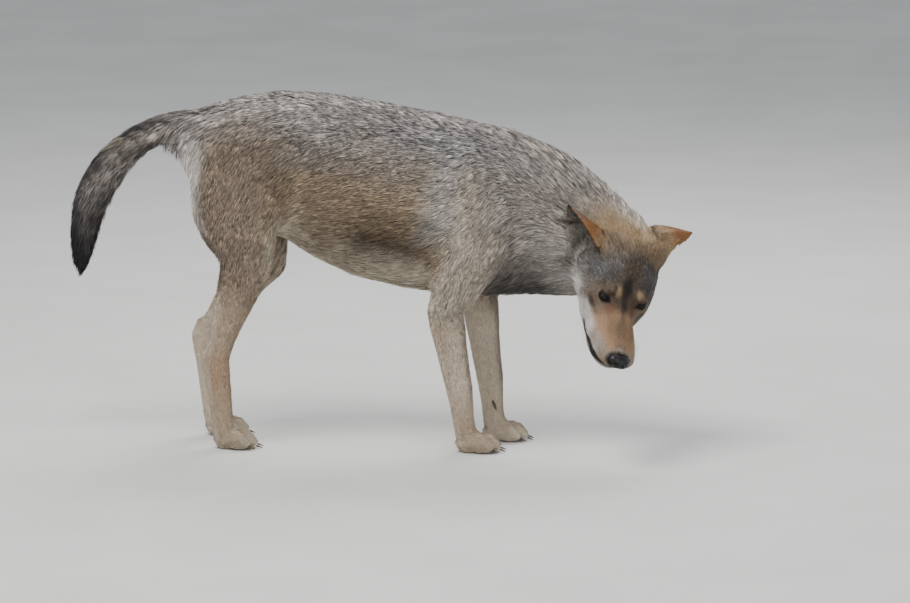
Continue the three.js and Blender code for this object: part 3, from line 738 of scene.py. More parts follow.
# (place in the body's drawing, reach, colour, strength, tip darkness, mix); both sides alike
BODY_MARKS = (
    ((120, 90, 628), (150, 140, 60), (144, 144, 148), 0.62, 0.7, 0.9),  # the saddle
    ((-60, 90, 640), (190, 140, 70), (128, 118, 108), 0.6, 0.65, 0.85),
    ((-30, 60, 712), (300, 60, 34), (184, 178, 172), 0.5, 0.7, 0.9),  # the pale ridge of the back
    ((-240, 90, 640), (110, 90, 70), (128, 112, 94), 0.6, 0.6, 0.7),
    ((-60, 100, 530), (200, 90, 70), (150, 130, 104), 0.6, 0.4, 0.5),  # the tan of the ribs
    ((-5, 100, 428), (172, 110, 64), (104, 86, 65), 0.8, 0.3, 0.45),  # the brown of the lower ribs, darkened further as painted shade under the ribs
    ((-95, 90, 440), (50, 80, 40), (140, 108, 76), 0.5, 0.2, 0.3),
    ((150, 112, 540), (34, 60, 100), (196, 194, 194), 0.6, 0.35, 0.5),  # the pale streak behind the shoulder
    ((240, 100, 610), (60, 60, 50), (150, 146, 144), 0.5, 0.7, 0.7),
    ((190, 112, 420), (60, 60, 60), (196, 184, 168), 0.5, 0.2, 0.4),
    ((-150, 84, 432), (52, 50, 40), (222, 214, 202), 0.85, 0.0, 0.15),  # the pale fold of the flank
    ((-395, 40, 560), (40, 70, 70), (240, 237, 232), 0.95, 0.0, 0.1),  # the white of the seat
    ((340, 100, 420), (50, 46, 52), (212, 207, 200), 0.6, 0.1, 0.4),  # the pale side of the neck
    ((400, 60, 520), (110, 110, 60), (146, 139, 134), 0.55, 0.6, 0.7),
    ((325, 70, 345), (110, 90, 54), (30, 28, 27), 0.95, 0.5, 0.6),  # painted shadow on the throat, between the shoulder and the neck
    ((210, 80, 200), (90, 90, 150), (206, 192, 174), 0.75, 0.05, 0.2),  # the pale forelegs
    ((-330, 76, 175), (50, 50, 50), (168, 130, 98), 0.4, 0.05, 0.2),  # the reddish hock
)
# the same in the head's frame
HEAD_MARKS = (
    ((-110, 0, 58), (64, 100, 60), (167, 141, 106), 0.75, 0.2, 0.4),  # the sandy crown
    ((-88, 0, 52), (22, 90, 44), (122, 103, 80), 0.8, 0.3, 0.5),
    ((-50, 0, 28), (38, 100, 60), (68, 62, 56), 0.92, 0.6, 0.9),  # the dark forehead
    ((-62, 64, 10), (38, 24, 26), (96, 93, 94), 0.92, 0.55, 0.9),  # the dark band of the temples
    ((-40, 50, 14), (26, 26, 26), (98, 95, 96), 0.95, 0.55, 0.85),
    ((-36, 32, 32), (24, 24, 22), (96, 90, 88), 0.95, 0.55, 0.85),  # and of the brows
    ((-34, 6, 36), (24, 17, 20), (84, 68, 54), 0.85, 0.5, 0.6),
    ((-66, 84, -14), (30, 24, 24), (106, 103, 103), 0.85, 0.5, 0.8),
    ((-84, 88, 2), (24, 28, 20), (70, 67, 66), 0.9, 0.3, 0.6),
    ((-104, 78, 12), (28, 28, 22), (38, 34, 31), 0.96, 0.3, 0.4),  # the dark fold before the ear
    ((-94, 44, 42), (26, 22, 22), (120, 99, 76), 0.7, 0.2, 0.4),
    ((-78, 64, 22), (18, 18, 20), (76, 70, 66), 0.85, 0.4, 0.6),
    ((-114, 80, -40), (30, 34, 30), (98, 92, 86), 0.8, 0.5, 0.7),
    ((-42, 62, -18), (26, 18, 16), (112, 105, 98), 0.8, 0.4, 0.6),
    ((-22, 34, 18), (22, 26, 18), (74, 68, 64), 0.85, 0.45, 0.7),
    ((14, 0, -2), (32, 42, 26), (66, 53, 42), 0.85, 0.3, 0.4),
    ((-8, 0, 18), (28, 13, 26), (27, 22, 19), 0.97, 0.4, 0.4),  # the dark stripe between the eyes
    ((20, 0, 0), (26, 7.5, 20), (35, 27, 22), 0.94, 0.4, 0.4),
    ((50, 0, -12), (28, 5, 16), (78, 60, 48), 0.7, 0.2, 0.3),
    ((28, 21, -13), (19, 9, 14), (112, 78, 56), 0.75, 0.1, 0.2),  # rust below the inner corners
    ((-70, 70, -50), (30, 22, 22), (226, 223, 219), 0.97, 0.0, 0.2),  # the white spot of the cheek
    ((-100, 64, -72), (30, 26, 24), (196, 192, 188), 0.9, 0.1, 0.2),
    ((-34, 64, -44), (20, 14, 14), (120, 109, 97), 0.75, 0.2, 0.4),
    ((-10, 58, -66), (52, 24, 26), (208, 206, 202), 0.9, 0.0, 0.15),  # the white cheek
    ((30, 46, -60), (44, 20, 24), (208, 206, 202), 0.95, 0.0, 0.12),
    ((-100, 84, -70), (36, 30, 30), (160, 152, 144), 0.6, 0.3, 0.5),
    ((6, 54, -50), (44, 18, 18), (204, 200, 194), 0.9, 0.0, 0.15),
    ((-5, 47, -33), (25, 12, 8), (62, 47, 35), 0.92, 0.35, 0.4),  # the dark smudge below the eye
    ((20, 44, -26), (22, 14, 12), (118, 103, 88), 0.8, 0.1, 0.3),
    ((84, 36, -56), (46, 14, 22), (162, 155, 146), 0.9, 0.0, 0.2),  # the pale side of the muzzle
    ((98, 30, -46), (24, 10, 12), (140, 132, 123), 0.8, 0.0, 0.2),
    ((108, 24, -54), (16, 14, 16), (134, 124, 113), 0.7, 0.0, 0.2),
    ((70, 14, -22), (50, 18, 16), (128, 101, 74), 0.85, 0.05, 0.2),  # the tan bridge
    ((70, 2, -20), (50, 9, 14), (108, 88, 70), 0.8, 0.05, 0.2),
    ((108, 0, -32), (14, 14, 14), (100, 88, 78), 0.6, 0.1, 0.2),
    ((60, 0, -92), (70, 30, 12), (190, 182, 172), 0.85, 0.0, 0.15),  # the chin
)
# marks of one side only, as (place, reach): painted shadow on the right lower ribs behind the elbow, and the
# left cheek
RIB_SHADOW = ((-5, -100, 432), (165, 110, 58))
DARK_CHEEK = ((6, 38, -40), (32, 15, 18))
# the pale spots over the eyes, one on each side: (place in the head's frame, reach)
EYE_SPOTS = (((2, -20, 9), (13, 7, 13)), ((-3, 18, 15), (11, 7, 11)))
# how far the middle line of the markings runs beside the muzzle's middle: x, and y
MIDLINE = ((-40, -13, -2, 11, 19, 37, 58, 90, 115), (-2, -4, 0, 1, 2, -2, -4, -5, -1))


class Paint:
    """The coat's colour as light, its tip darkness and its mix of tones at each place, coat over coat."""

    def __init__(self, values, tint):
        self.tint = np.array(tint)
        self.colour = values[:, RED : BLUE + 1] * self.tint
        self.tick = values[:, TICK].copy()
        self.mix = values[:, MIX].copy()

    def __call__(self, share, rgb, dark, mixed):
        """Puts a colour from 0 to 255, or a light, over a share of what is there."""
        share = np.clip(share, 0, 1)
        light = rgb if isinstance(rgb, np.ndarray) else linear(rgb) * self.tint
        self.colour = self.colour + (light - self.colour) * share[:, None]
        self.tick = self.tick + (dark - self.tick) * share
        self.mix = self.mix + (mixed - self.mix) * share


def paint_legs(paint, place, normals, off_head):
    """Pale behind and inside, with a grey streak down the front of the forearm."""
    low = 1 - step(place[:, 2], 300, 380)
    inner = step(-normals[:, 1] * np.sign(place[:, 1]), 0.1, 0.7)
    paint(0.6 * low * inner * off_head, (214, 200, 178), 0.0, 0.1)
    paint(0.5 * low * step(-normals[:, 0], 0.3, 0.8) * off_head, (220, 208, 190), 0.0, 0.1)
    fore = step(place[:, 0], 60, 100) * step(place[:, 2], 90, 150) * (1 - step(place[:, 2], 270, 330))
    paint(0.6 * fore * step(normals[:, 0], 0.55, 0.9) * off_head, (138, 122, 108), 0.3, 0.4)


def paint_tail(paint, place, normals):
    """Dark outside and over its last third, pale on its bend, with a dark spot near its root."""
    tail = 1 - step(place[:, 0], -440, -400)
    outer = step(-0.75 * normals[:, 0] + 0.66 * normals[:, 2], 0.1, 0.9)
    paint(0.85 * tail * outer, (46, 44, 46), 0.8, 0.6)
    paint(0.75 * blob(place, (-520, 0, 640), (46, 60, 36)), (166, 154, 136), 0.35, 0.5)
    paint(tail * (1 - step(place[:, 2], 440, 560)), (18, 19, 25), 0.9, 0.5)
    paint(0.9 * blob(place, (-458, 0, 660), (26, 70, 60)), (32, 32, 36), 0.9, 0.4)


def paint_eyes(paint, h, lip):
    """The pale spots over the eyes, the dark round them, and the black of the lids' rims and corners."""
    for at, reach in EYE_SPOTS:
        paint(0.9 * blob(h, at, reach), (150, 126, 98), 0.0, 0.3)
    for side in (1, -1):
        gap, *_, far, _, _ = lid_gap(h, side)
        close = far < 30
        paint(0.85 * close * (1 - step(gap, 3.0, 9.5)), (58, 45, 36), 0.4, 0.4)
        paint(close * (1 - step(gap, 2.2, 4.2)), lip * 0.6, 0.2, 0.1)
        centre, ahead, along, up = eye_axes(side)
        d = h - centre
        almond = 6.2 * np.clip(1 - ((d @ along - 1) / 23) ** 2, 0, 1) ** 0.7
        seen = close * (d @ ahead > 2)
        paint(0.97 * seen * (1 - step(np.abs(d @ up + 1.6) - almond, -0.6, 1.4)), lip * 0.8, 0.2, 0.1)


def paint_muzzle(paint, h, on_head, lip):
    """The pale lower lip, the black line of the lips, and the rim of the nose."""
    below = step(mouth_line(h[:, 0]) - h[:, 2], 1, 6) * step(h[:, 0], -10, 20)
    paint(0.85 * on_head * below, (172, 166, 158), 0.0, 0.15)
    paint(on_head * (1 - step(mouth_gap(h), 4.8, 7.0)), lip, 0.0, 0.1)
    paint(0.75 * (1 - step(nose_gap(h), 1.3, 1.55)), (146, 134, 122), 0.0, 0.2)
    paint(0.95 * (1 - step(nose_gap(h), 1.07, 1.16)), (52, 46, 44), 0.1, 0.1)


def paint_ears(paint, h, normals, ear_share):
    """Rusty behind, with a dark rim and tip, and a dark hollow with pale hairs."""
    t, across, hollow = ear_place(h, normals @ HEAD_AXES)
    rim = np.abs(across)
    inside, behind = ear_share * hollow, ear_share * (1 - hollow)
    right = h[:, 1] < 0
    pale = step(across, 0.0, 0.3) * (1 - step(np.abs(t - 0.36), 0.1, 0.22))
    paint(0.8 * behind * (1 - step(t, 0.22, 0.5)), (164, 136, 100), 0.15, 0.3)
    paint(0.9 * right * behind * step(across, 0.35, 0.6), (84, 78, 72), 0.3, 0.5)
    paint(inside, (104, 98, 91), 0.2, 0.9)
    paint(inside * step(rim, 0.5, 0.8) * (1 - step(t, 0.6, 0.8)), (140, 131, 121), 0.1, 0.6)
    paint(0.92 * inside * (1 - step(across, -0.15, 0.2)), (40, 37, 34), 0.2, 0.4)
    paint(0.9 * inside * pale, (142, 137, 128), 0.1, 0.6)
    paint(0.8 * ear_share * step(across, -0.1, 0.3) * (1 - step(t, 0.08, 0.2)), (120, 102, 78), 0.1, 0.4)
    paint(ear_share * step(rim, 0.9, 0.99), (44, 37, 34), 0.3, 0.2)
    paint(ear_share * step(t, 0.88, 0.98), (44, 38, 36), 0.3, 0.2)


def head_share(h):
    """1 on the head, falling to 0 over the start of the neck."""
    from_skull = h - (-30, 0, -20)
    from_skull[:, 0] *= np.where(from_skull[:, 0] > 0, 0.7, 1.0)
    return 1 - step(np.linalg.norm(from_skull, axis=1), 120, 160)


def markings(points, normals, values, ear_share, look):
    """The coat's colour as light, its tip darkness and its mix of tones, at each place."""
    paint = Paint(values, look.coat_tint)
    lip = np.array(look.lip_colour)
    place, h = to_drawing(points), to_head(points)
    on_head = head_share(h)
    folded = sided(place)
    for at, reach, rgb, strength, dark, mixed in BODY_MARKS:
        paint(strength * blob(folded, at, reach) * (1 - on_head), rgb, dark, mixed)
    # painted shadow on the right lower ribs, behind the elbow
    paint(0.9 * blob(place, *RIB_SHADOW), (66, 52, 37), 0.3, 0.45)
    paint_legs(paint, place, normals, 1 - on_head)
    paint_tail(paint, place, normals)
    straight = centred(h)
    over = 1 - step(np.abs(straight[:, 1]), 14, 36)
    straight[:, 1] -= over * np.interp(h[:, 0], *MIDLINE)
    straight = sided(straight)
    for at, reach, rgb, strength, dark, mixed in HEAD_MARKS:
        paint(strength * blob(straight, at, reach) * on_head * (1 - ear_share), rgb, dark, mixed)
    paint(0.92 * on_head * blob(h, *DARK_CHEEK), (96, 80, 66), 0.2, 0.4)
    paint_eyes(paint, h, lip)
    paint_muzzle(paint, h, on_head, lip)
    paint_ears(paint, h, normals, ear_share)
    pads = (1 - step(place[:, 2], 4, 9)) * step(-normals[:, 2], 0.5, 0.8)
    paint(pads, (40, 36, 35), 0.0, 0.1)
    return paint.colour, paint.tick, paint.mix


def bare_share(points, normals, ear_share):
    """1 where no fur grows: lids, lips, nose and pads."""
    h = to_head(points)
    bare = 1 - step(mouth_gap(h), 3.6, 5.4)
    bare = np.maximum(bare, 1 - step(nose_gap(h), 0.98, 1.07))
    for side in (1, -1):
        gap, *_, far, _, _ = lid_gap(h, side)
        bare = np.maximum(bare, (1 - step(gap, 1.2, 2.6)) * (far < 30))
    soles = (points[:, 2] < 5 * MM) & (normals[:, 2] < -0.3)
    bare = np.maximum(bare, soles)
    _, _, hollow = ear_place(h, normals @ HEAD_AXES)
    return np.maximum(bare, 0.45 * ear_share * hollow)


# ---- growing the coat
# a tuft's outline, as (share of its length, share of its width)
LONG_TUFT = ((0, 0.6), (0.36, 1.0), (0.7, 0.75), (1, 0))
SHORT_TUFT = ((0, 0.7), (0.5, 1.0), (1, 0))
# each piece of the coat: its slot, the kinds of fur in it and the outline of its tufts
PIECES = {
    "coat_back": ("coat", ("back",), LONG_TUFT),
    "coat_flank": ("coat", ("flank", "belly"), LONG_TUFT),
    "coat_neck": ("coat", ("mane", "neck", "throat"), LONG_TUFT),
    "coat_shoulder": ("coat", ("shoulder",), LONG_TUFT),
    "coat_thigh": ("coat", ("thigh", "breech"), LONG_TUFT),
    "coat_legs": ("leg_fur", ("leg", "shin", "paw"), SHORT_TUFT),
    "coat_tail": ("tail_fur", ("tail", "brush"), LONG_TUFT),
    "coat_face": ("face_fur", ("muzzle", "face"), SHORT_TUFT),
    "coat_crown": ("face_fur", ("crown", "cheek", "ruff"), SHORT_TUFT),
    "coat_ears": ("ear_fur", ("ear",), SHORT_TUFT),
}
MOST_FACES = 190000  # of one piece
PATCH = 0.003  # how much of the UV map a tuft covers, from side to side
ROOT_DEPTH = 0.4 * MM  # how far a tuft's root is sunk in the skin
LOWEST_TIP = 0.8 * MM  # above the floor
STRAY_SHARE = 0.03  # the share of tufts that stand out a little from the rest


def tuft_paths(surface, normals, lay, length):
    """From each point, the ways to a tuft's middle and tip along the skin, and the normals there."""
    tree = BVHTree.FromPolygons(surface.points.tolist(), surface.tris.tolist())
    reach = [np.zeros_like(lay) for _ in range(2)]
    facing = [np.zeros_like(lay) for _ in range(2)]
    for i in range(len(lay)):
        place = surface.points[i]
        heading = lay[i]
        half = length[i] / 2
        for k in range(2):
            goal = place + heading * half
            found, _, face, _ = tree.find_nearest(Vector(goal))
            corners = surface.tris[face]
            step_on = np.array(found)
            if (step_on - place) @ heading < 0.6 * half:
                # the skin ends or turns back here, and the tuft hangs free
                reach[k][i] = goal - surface.points[i]
                facing[k][i] = normals[i] if k == 0 else facing[0][i]
                place = goal
                continue
            place = step_on
            reach[k][i] = place - surface.points[i]
            facing[k][i] = normals[corners].sum(0)
            heading = lay[corners[0]]
    return reach, [unit(f) for f in facing]


def blades(name, stations, aside, widths, roots_uv, shade, tone):
    """One mesh of thin tufts: each narrows from its root to a point."""
    steps = len(stations) - 1
    count = len(aside)
    per = 2 * steps + 1
    points = np.zeros((count, per, 3))
    uv = np.zeros((count, per, 2))
    strand = np.zeros((count, per, 3))
    for i, (place, along, width) in enumerate(stations):
        sides = ((2 * i, -1), (2 * i + 1, 1)) if i < steps else ((2 * i, 0),)
        for column, side in sides:
            points[:, column] = place + aside * (side * width * widths)[:, None] / 2
            uv[:, column] = roots_uv + np.array((side * 0.5 * (1 - along), along - 0.5)) * PATCH
            strand[:, column] = np.stack([np.full(count, along), np.full(count, 0.5 + side * 0.5), tone], 1)
    faces = []
    for i in range(steps - 1):
        a = 2 * i
        faces += [(a, a + 1, a + 3), (a, a + 3, a + 2)]
    faces.append((2 * steps - 2, 2 * steps - 1, 2 * steps))
    faces = np.array(faces)
    corners = (np.arange(count)[:, None, None] * per + faces).reshape(-1)
    mesh = bpy.data.meshes.new(name)
    mesh.vertices.add(count * per)
    mesh.vertices.foreach_set("co", points.astype(np.float32).ravel())
    mesh.loops.add(len(corners))
    mesh.loops.foreach_set("vertex_index", corners.astype(np.int32))
    mesh.polygons.add(len(corners) // 3)
    mesh.polygons.foreach_set("loop_start", np.arange(0, len(corners), 3, dtype=np.int32))
    mesh.update(calc_edges=True)
    smoothed(mesh)
    layer = mesh.uv_layers.new(name="OFBake")
    layer.data.foreach_set("uv", uv.reshape(-1, 2)[corners].astype(np.float32).ravel())
    store(mesh, "shade", "FLOAT_COLOR", np.repeat(shade, per, 0))
    store(mesh, "strand", "FLOAT_VECTOR", strand)
    return mesh


def curve_of(start, middle, end, outline):
    """Tufts' curves through three places each, as (place, share along, width) for each station."""
    bend = 2 * middle - (start + end) / 2
    return [
        (start * (1 - s) ** 2 + bend * 2 * s * (1 - s) + end * s * s, s, width) for s, width in outline
    ]


def scattered(surface, count_per_area, rng):
    """Random places on the surface: (triangle, three shares of its corners)."""
    a, b, c = (surface.points[surface.tris[:, k]] for k in range(3))
    area = np.linalg.norm(np.cross(b - a, c - a), axis=1) / 2
    wanted = np.cumsum(area * count_per_area)
    total = int(wanted[-1])
    at = (np.arange(total) + rng.random(total)) * (wanted[-1] / total)
    tri = np.minimum(np.searchsorted(wanted, at), len(area) - 1)
    u, v = rng.random((2, total))
    flip = u + v > 1
    u, v = np.where(flip, 1 - u, u), np.where(flip, 1 - v, v)
    return tri, np.stack([1 - u - v, u, v], 1)


def clumps(points, width, rng):
    """For each tuft the index of the tuft that leads its clump."""
    keep = rng.random(len(points)) < 1 / np.maximum(width, 2.0)
    leads = np.nonzero(keep)[0]
    tree = KDTree(len(leads))
    for i in leads:
        tree.insert(points[i], int(i))
    tree.balance()
    return np.array([tree.find(p)[1] for p in points])


def grown_coat(surface, uv_corners, sizes):
    """Makes every piece of the coat over the finished skin."""
    rng = np.random.default_rng(SEED)
    ears = ear_share_of(surface.points)
    values, lay, kind = along_strokes(surface.points, ears)
    normals = surface.normals()
    smooth = unit(surface.spread(normals, 4))
    lay = surface.spread(lay - smooth * (lay * smooth).sum(1, keepdims=True), 6)
    lay = unit(lay - smooth * (lay * smooth).sum(1, keepdims=True))
    length = values[:, LENGTH] * MM * sizes.fur_length
    from_base, across, _ = ear_place(to_head(surface.points), smooth @ HEAD_AXES)
    length *= 1 - 0.7 * ears * np.maximum(step(from_base, 0.6, 0.95), step(np.abs(across), 0.75, 1.0))
    reach, facing = tuft_paths(surface, smooth, lay, length)
    colour, tick, mix = markings(surface.points, smooth, values, ears, sizes)
    bare = bare_share(surface.points, smooth, ears)
    density = values[:, COUNT] * 1e4 * (1 - bare) * sizes.fur_count
    tri, shares = scattered(surface, density[surface.tris].mean(1), rng)
    corners = surface.tris[tri]

    def at_roots(field):
        parts = [field[corners[:, k]] * shares[:, k].reshape(-1, *[1] * (field.ndim - 1)) for k in range(3)]
        return parts[0] + parts[1] + parts[2]

    nearest = corners[np.arange(len(corners)), shares.argmax(1)]
    root = at_roots(surface.points)
    uv = (uv_corners[tri] * shares[:, :, None]).sum(1)
    normal0, normal1, normal2 = (unit(at_roots(f)) for f in (smooth, *facing))
    mid, tip = (at_roots(f) for f in reach)
    own = at_roots(values)
    count = len(root)
    scale = 1 + 0.22 * rng.standard_normal(count).clip(-2, 2)
    proud = rng.random(count)
    depth = own[:, DEPTH] * MM * (1 - 0.55 * proud**2) * sizes.fur_depth
    stray = rng.random(count) < STRAY_SHARE
    depth = np.where(stray, depth * 1.25, depth)
    rise_mid = 0.62 + 0.16 * rng.random(count)
    aside = unit(np.cross(unit(tip), normal0))
    swing = rng.standard_normal((2, count)) * own[:, LENGTH] * MM * 0.07
    start = root - normal0 * ROOT_DEPTH
    middle = root + mid * scale[:, None] + normal1 * (depth * rise_mid)[:, None] + aside * swing[0][:, None]
    end = root + tip * scale[:, None] + normal2 * depth[:, None] + aside * (swing[0] + swing[1])[:, None]
    lead = clumps(root, own[:, CLUMP] ** 2 * own[:, COUNT] / 100, rng)
    pull = own[:, PULL] * (0.55 + 0.6 * rng.random(count))
    end += (end[lead] - end) * pull[:, None]
    middle += (middle[lead] - middle) * (pull * 0.45)[:, None]
    for way in (middle, end):
        way[:, 2] = np.maximum(way[:, 2], LOWEST_TIP)
    turn = rng.standard_normal(count) * 0.32
    aside = unit(aside * np.cos(turn)[:, None] + normal1 * np.sin(turn)[:, None])
    lead_tone = rng.standard_normal(count)[lead]
    tone = 0.62 * lead_tone + 0.6 * rng.standard_normal(count)
    base = at_roots(colour)
    ticking = at_roots(tick)
    mixed = at_roots(mix)
    bright = np.exp(tone * mixed * 0.52)
    shade = np.c_[base * bright[:, None], np.clip(ticking * (1 + 0.5 * rng.standard_normal(count)), 0, 1)]
    widths = own[:, WIDTH] * MM * (0.75 + 0.5 * rng.random(count)) * sizes.tuft_width
    ways = (start, middle, end)
    kinds = kind[nearest]
    made = []
    for name, (slot, names, outline) in PIECES.items():
        chosen = np.nonzero(np.isin(kinds, [FUR_NAMES.index(n) for n in names]))[0]
        order = chosen[np.argsort(root[chosen, 1], kind="stable")]
        parts = max(1, math.ceil(len(order) * (2 * len(outline) - 3) / MOST_FACES))
        for part, rows in enumerate(np.array_split(order, parts)):
            rows = np.sort(rows)
            title = name if parts == 1 else f"{name}_{part + 1}"
            stations = curve_of(*(way[rows] for way in ways), outline)
            own_tone = rng.random(len(rows))
            mesh = blades(title, stations, aside[rows], widths[rows], uv[rows], shade[rows], own_tone)
            made.append((new_object(title, mesh), slot))
    return made


# ---- materials
def link(tree, *pairs):
    for a, b in pairs:
        tree.links.new(a, b)


def math_node(tree, operation, *values, clamp=False):
    """A Math node fed with sockets or numbers."""
    node = tree.nodes.new("ShaderNodeMath")
    node.operation = operation
    node.use_clamp = clamp
    for at, value in zip(node.inputs, values):
        if isinstance(value, (int, float)):
            at.default_value = value
        else:
            tree.links.new(value, at)
    return node.outputs[0]


def mix_node(tree, factor, a, b, blend="MIX"):
    """A colour Mix node fed with sockets or colours."""
    node = tree.nodes.new("ShaderNodeMix")
    node.data_type = "RGBA"
    node.blend_type = blend
    for key, value in ((0, factor), (6, a), (7, b)):
        at = node.inputs[key]
        if isinstance(value, (int, float, tuple)):
            at.default_value = value
        else:
            tree.links.new(value, at)
    return node.outputs[2]


def range_node(tree, value, low, high, to_low=0.0, to_high=1.0):
    node = tree.nodes.new("ShaderNodeMapRange")
    node.interpolation_type = "SMOOTHSTEP"
    for key, number in zip(("From Min", "From Max", "To Min", "To Max"), (low, high, to_low, to_high)):
        node.inputs[key].default_value = number
    tree.links.new(value, node.inputs["Value"])
    return node.outputs["Result"]


def two_tone(tree, value, low, high, dark, pale):
    """A dark colour where a value is low, and a pale one where it is high."""
    return mix_node(tree, range_node(tree, value, low, high), (*dark, 1), (*pale, 1))


def noise_node(tree, vector, scale, detail=3.0):
    node = tree.nodes.new("ShaderNodeTexNoise")
    node.inputs["Scale"].default_value = scale
    node.inputs["Detail"].default_value = detail
    tree.links.new(vector, node.inputs["Vector"])
    return node.outputs["Fac"]


def new_group(name, inputs, outputs):
    """A shader group with its ends, and with a named socket for each (name, kind)."""
    tree = bpy.data.node_groups.new(name, "ShaderNodeTree")
    for way, sockets in (("INPUT", inputs), ("OUTPUT", outputs)):
        for title, kind in sockets:
            tree.interface.new_socket(name=title, in_out=way, socket_type="NodeSocket" + kind)
    return tree, tree.nodes.new("NodeGroupInput"), tree.nodes.new("NodeGroupOutput")


def banded_hair_group():
    """Colours a hair along its length: darkened at the root as painted shade of the coat over it, pale in
    the middle and dark at the tip.
    """
    tree, start, end = new_group(
        "Banded hair",
        (("Colour", "Color"), ("Ticking", "Float"), ("Tip colour", "Color"), ("Strand", "Vector")),
        (("Result", "Color"), ("Height", "Float")),
    )
    apart = tree.nodes.new("ShaderNodeSeparateXYZ")
    link(tree, (start.outputs["Strand"], apart.inputs[0]))
    along, across, tone = apart.outputs
    streaks = tree.nodes.new("ShaderNodeCombineXYZ")
    link(
        tree,
        (math_node(tree, "MULTIPLY", across, 3.2), streaks.inputs[0]),
        (math_node(tree, "MULTIPLY", along, 1.1), streaks.inputs[1]),
        (math_node(tree, "MULTIPLY", tone, 60.0), streaks.inputs[2]),
    )
    streak = noise_node(tree, streaks.outputs[0], 1.6, 2.0)
    # painted shade: the colour is halved at the root, where the coat shades itself, and rises to full by
    # 0.45 of the length
    root = range_node(tree, along, 0.0, 0.45, 0.5, 1.0)
    shaded = mix_node(tree, 1.0, start.outputs["Colour"], root, "MULTIPLY")
    lift = range_node(tree, streak, 0.3, 0.7, 0.72, 1.3)
    streaked = mix_node(tree, 1.0, shaded, lift, "MULTIPLY")
    near_tip = range_node(tree, along, 0.5, 0.82)
    tip = math_node(tree, "MULTIPLY", near_tip, start.outputs["Ticking"], clamp=True)
    dark = mix_node(tree, tip, streaked, start.outputs["Tip colour"])
    link(tree, (dark, end.inputs["Result"]), (streak, end.inputs["Height"]))
    return tree


def nap_group():
    """Short flat fur as colour mottling and fine streaked height, from places on the surface."""
    tree, start, end = new_group(
        "Short nap",
        (("Vector", "Vector"), ("Colour", "Color"), ("Mottle", "Float")),
        (("Result", "Color"), ("Height", "Float")),
    )
    fine = noise_node(tree, start.outputs["Vector"], 900.0, 2.0)
    broad = noise_node(tree, start.outputs["Vector"], 220.0, 3.0)
    weighed = [math_node(tree, "MULTIPLY", fac, share) for fac, share in ((fine, 0.6), (broad, 0.4))]
    both = math_node(tree, "ADD", *weighed)
    swing = math_node(tree, "MULTIPLY", math_node(tree, "SUBTRACT", both, 0.5), start.outputs["Mottle"])
    bright = math_node(tree, "ADD", math_node(tree, "MULTIPLY", swing, 3.0), 1.0)
    result = mix_node(tree, 1.0, start.outputs["Colour"], bright, "MULTIPLY")
    link(tree, (result, end.inputs["Result"]), (fine, end.inputs["Height"]))
    return tree


def new_material(name, **values):
    """A material whose shader has the given constants, with its tree."""
    made = bpy.data.materials.new("wolf " + name)
    made.use_nodes = True
    shader = made.node_tree.nodes["Principled BSDF"]
    for key, value in values.items():
        shader.inputs[key.replace("_", " ")].default_value = value
    return made, made.node_tree, shader


def attribute(tree, name):
    node = tree.nodes.new("ShaderNodeAttribute")
    node.attribute_name = name
    return node


def group_node(tree, group):
    node = tree.nodes.new("ShaderNodeGroup")
    node.node_tree = group
    return node


def bump_node(tree, height, strength, distance):
    node = tree.nodes.new("ShaderNodeBump")
    node.inputs["Strength"].default_value = strength
    node.inputs["Distance"].default_value = distance
    tree.links.new(height, node.inputs["Height"])
    return node.outputs["Normal"]


def object_coords(tree):
    return tree.nodes.new("ShaderNodeTexCoord").outputs["Object"]


def fur_material():
    made, tree, shader = new_material("fur", Roughness=0.62, Specular_IOR_Level=0.28)
    shade = attribute(tree, "shade")
    strand = attribute(tree, "strand")
    band = group_node(tree, bpy.data.node_groups.get("Banded hair") or banded_hair_group())
    band.inputs["Tip colour"].default_value = (*bpy.context.scene.wolf_coat.tip_colour, 1)
    link(
        tree,
        (shade.outputs["Color"], band.inputs["Colour"]),
        (shade.outputs["Alpha"], band.inputs["Ticking"]),
        (strand.outputs["Vector"], band.inputs["Strand"]),
        (band.outputs["Result"], shader.inputs["Base Color"]),
        (bump_node(tree, band.outputs["Height"], 0.5, 0.25 * MM), shader.inputs["Normal"]),
    )
    return made


def skin_material():
    made, tree, shader = new_material("skin", Roughness=0.72, Specular_IOR_Level=0.25)
    shade = attribute(tree, "shade")
    nap = group_node(tree, bpy.data.node_groups.get("Short nap") or nap_group())
    nap.inputs["Mottle"].default_value = 0.35
    link(
        tree,
        (object_coords(tree), nap.inputs["Vector"]),
        (shade.outputs["Color"], nap.inputs["Colour"]),
        (nap.outputs["Result"], shader.inputs["Base Color"]),
        (bump_node(tree, nap.outputs["Height"], 0.6, 0.5 * MM), shader.inputs["Normal"]),
    )
    return made


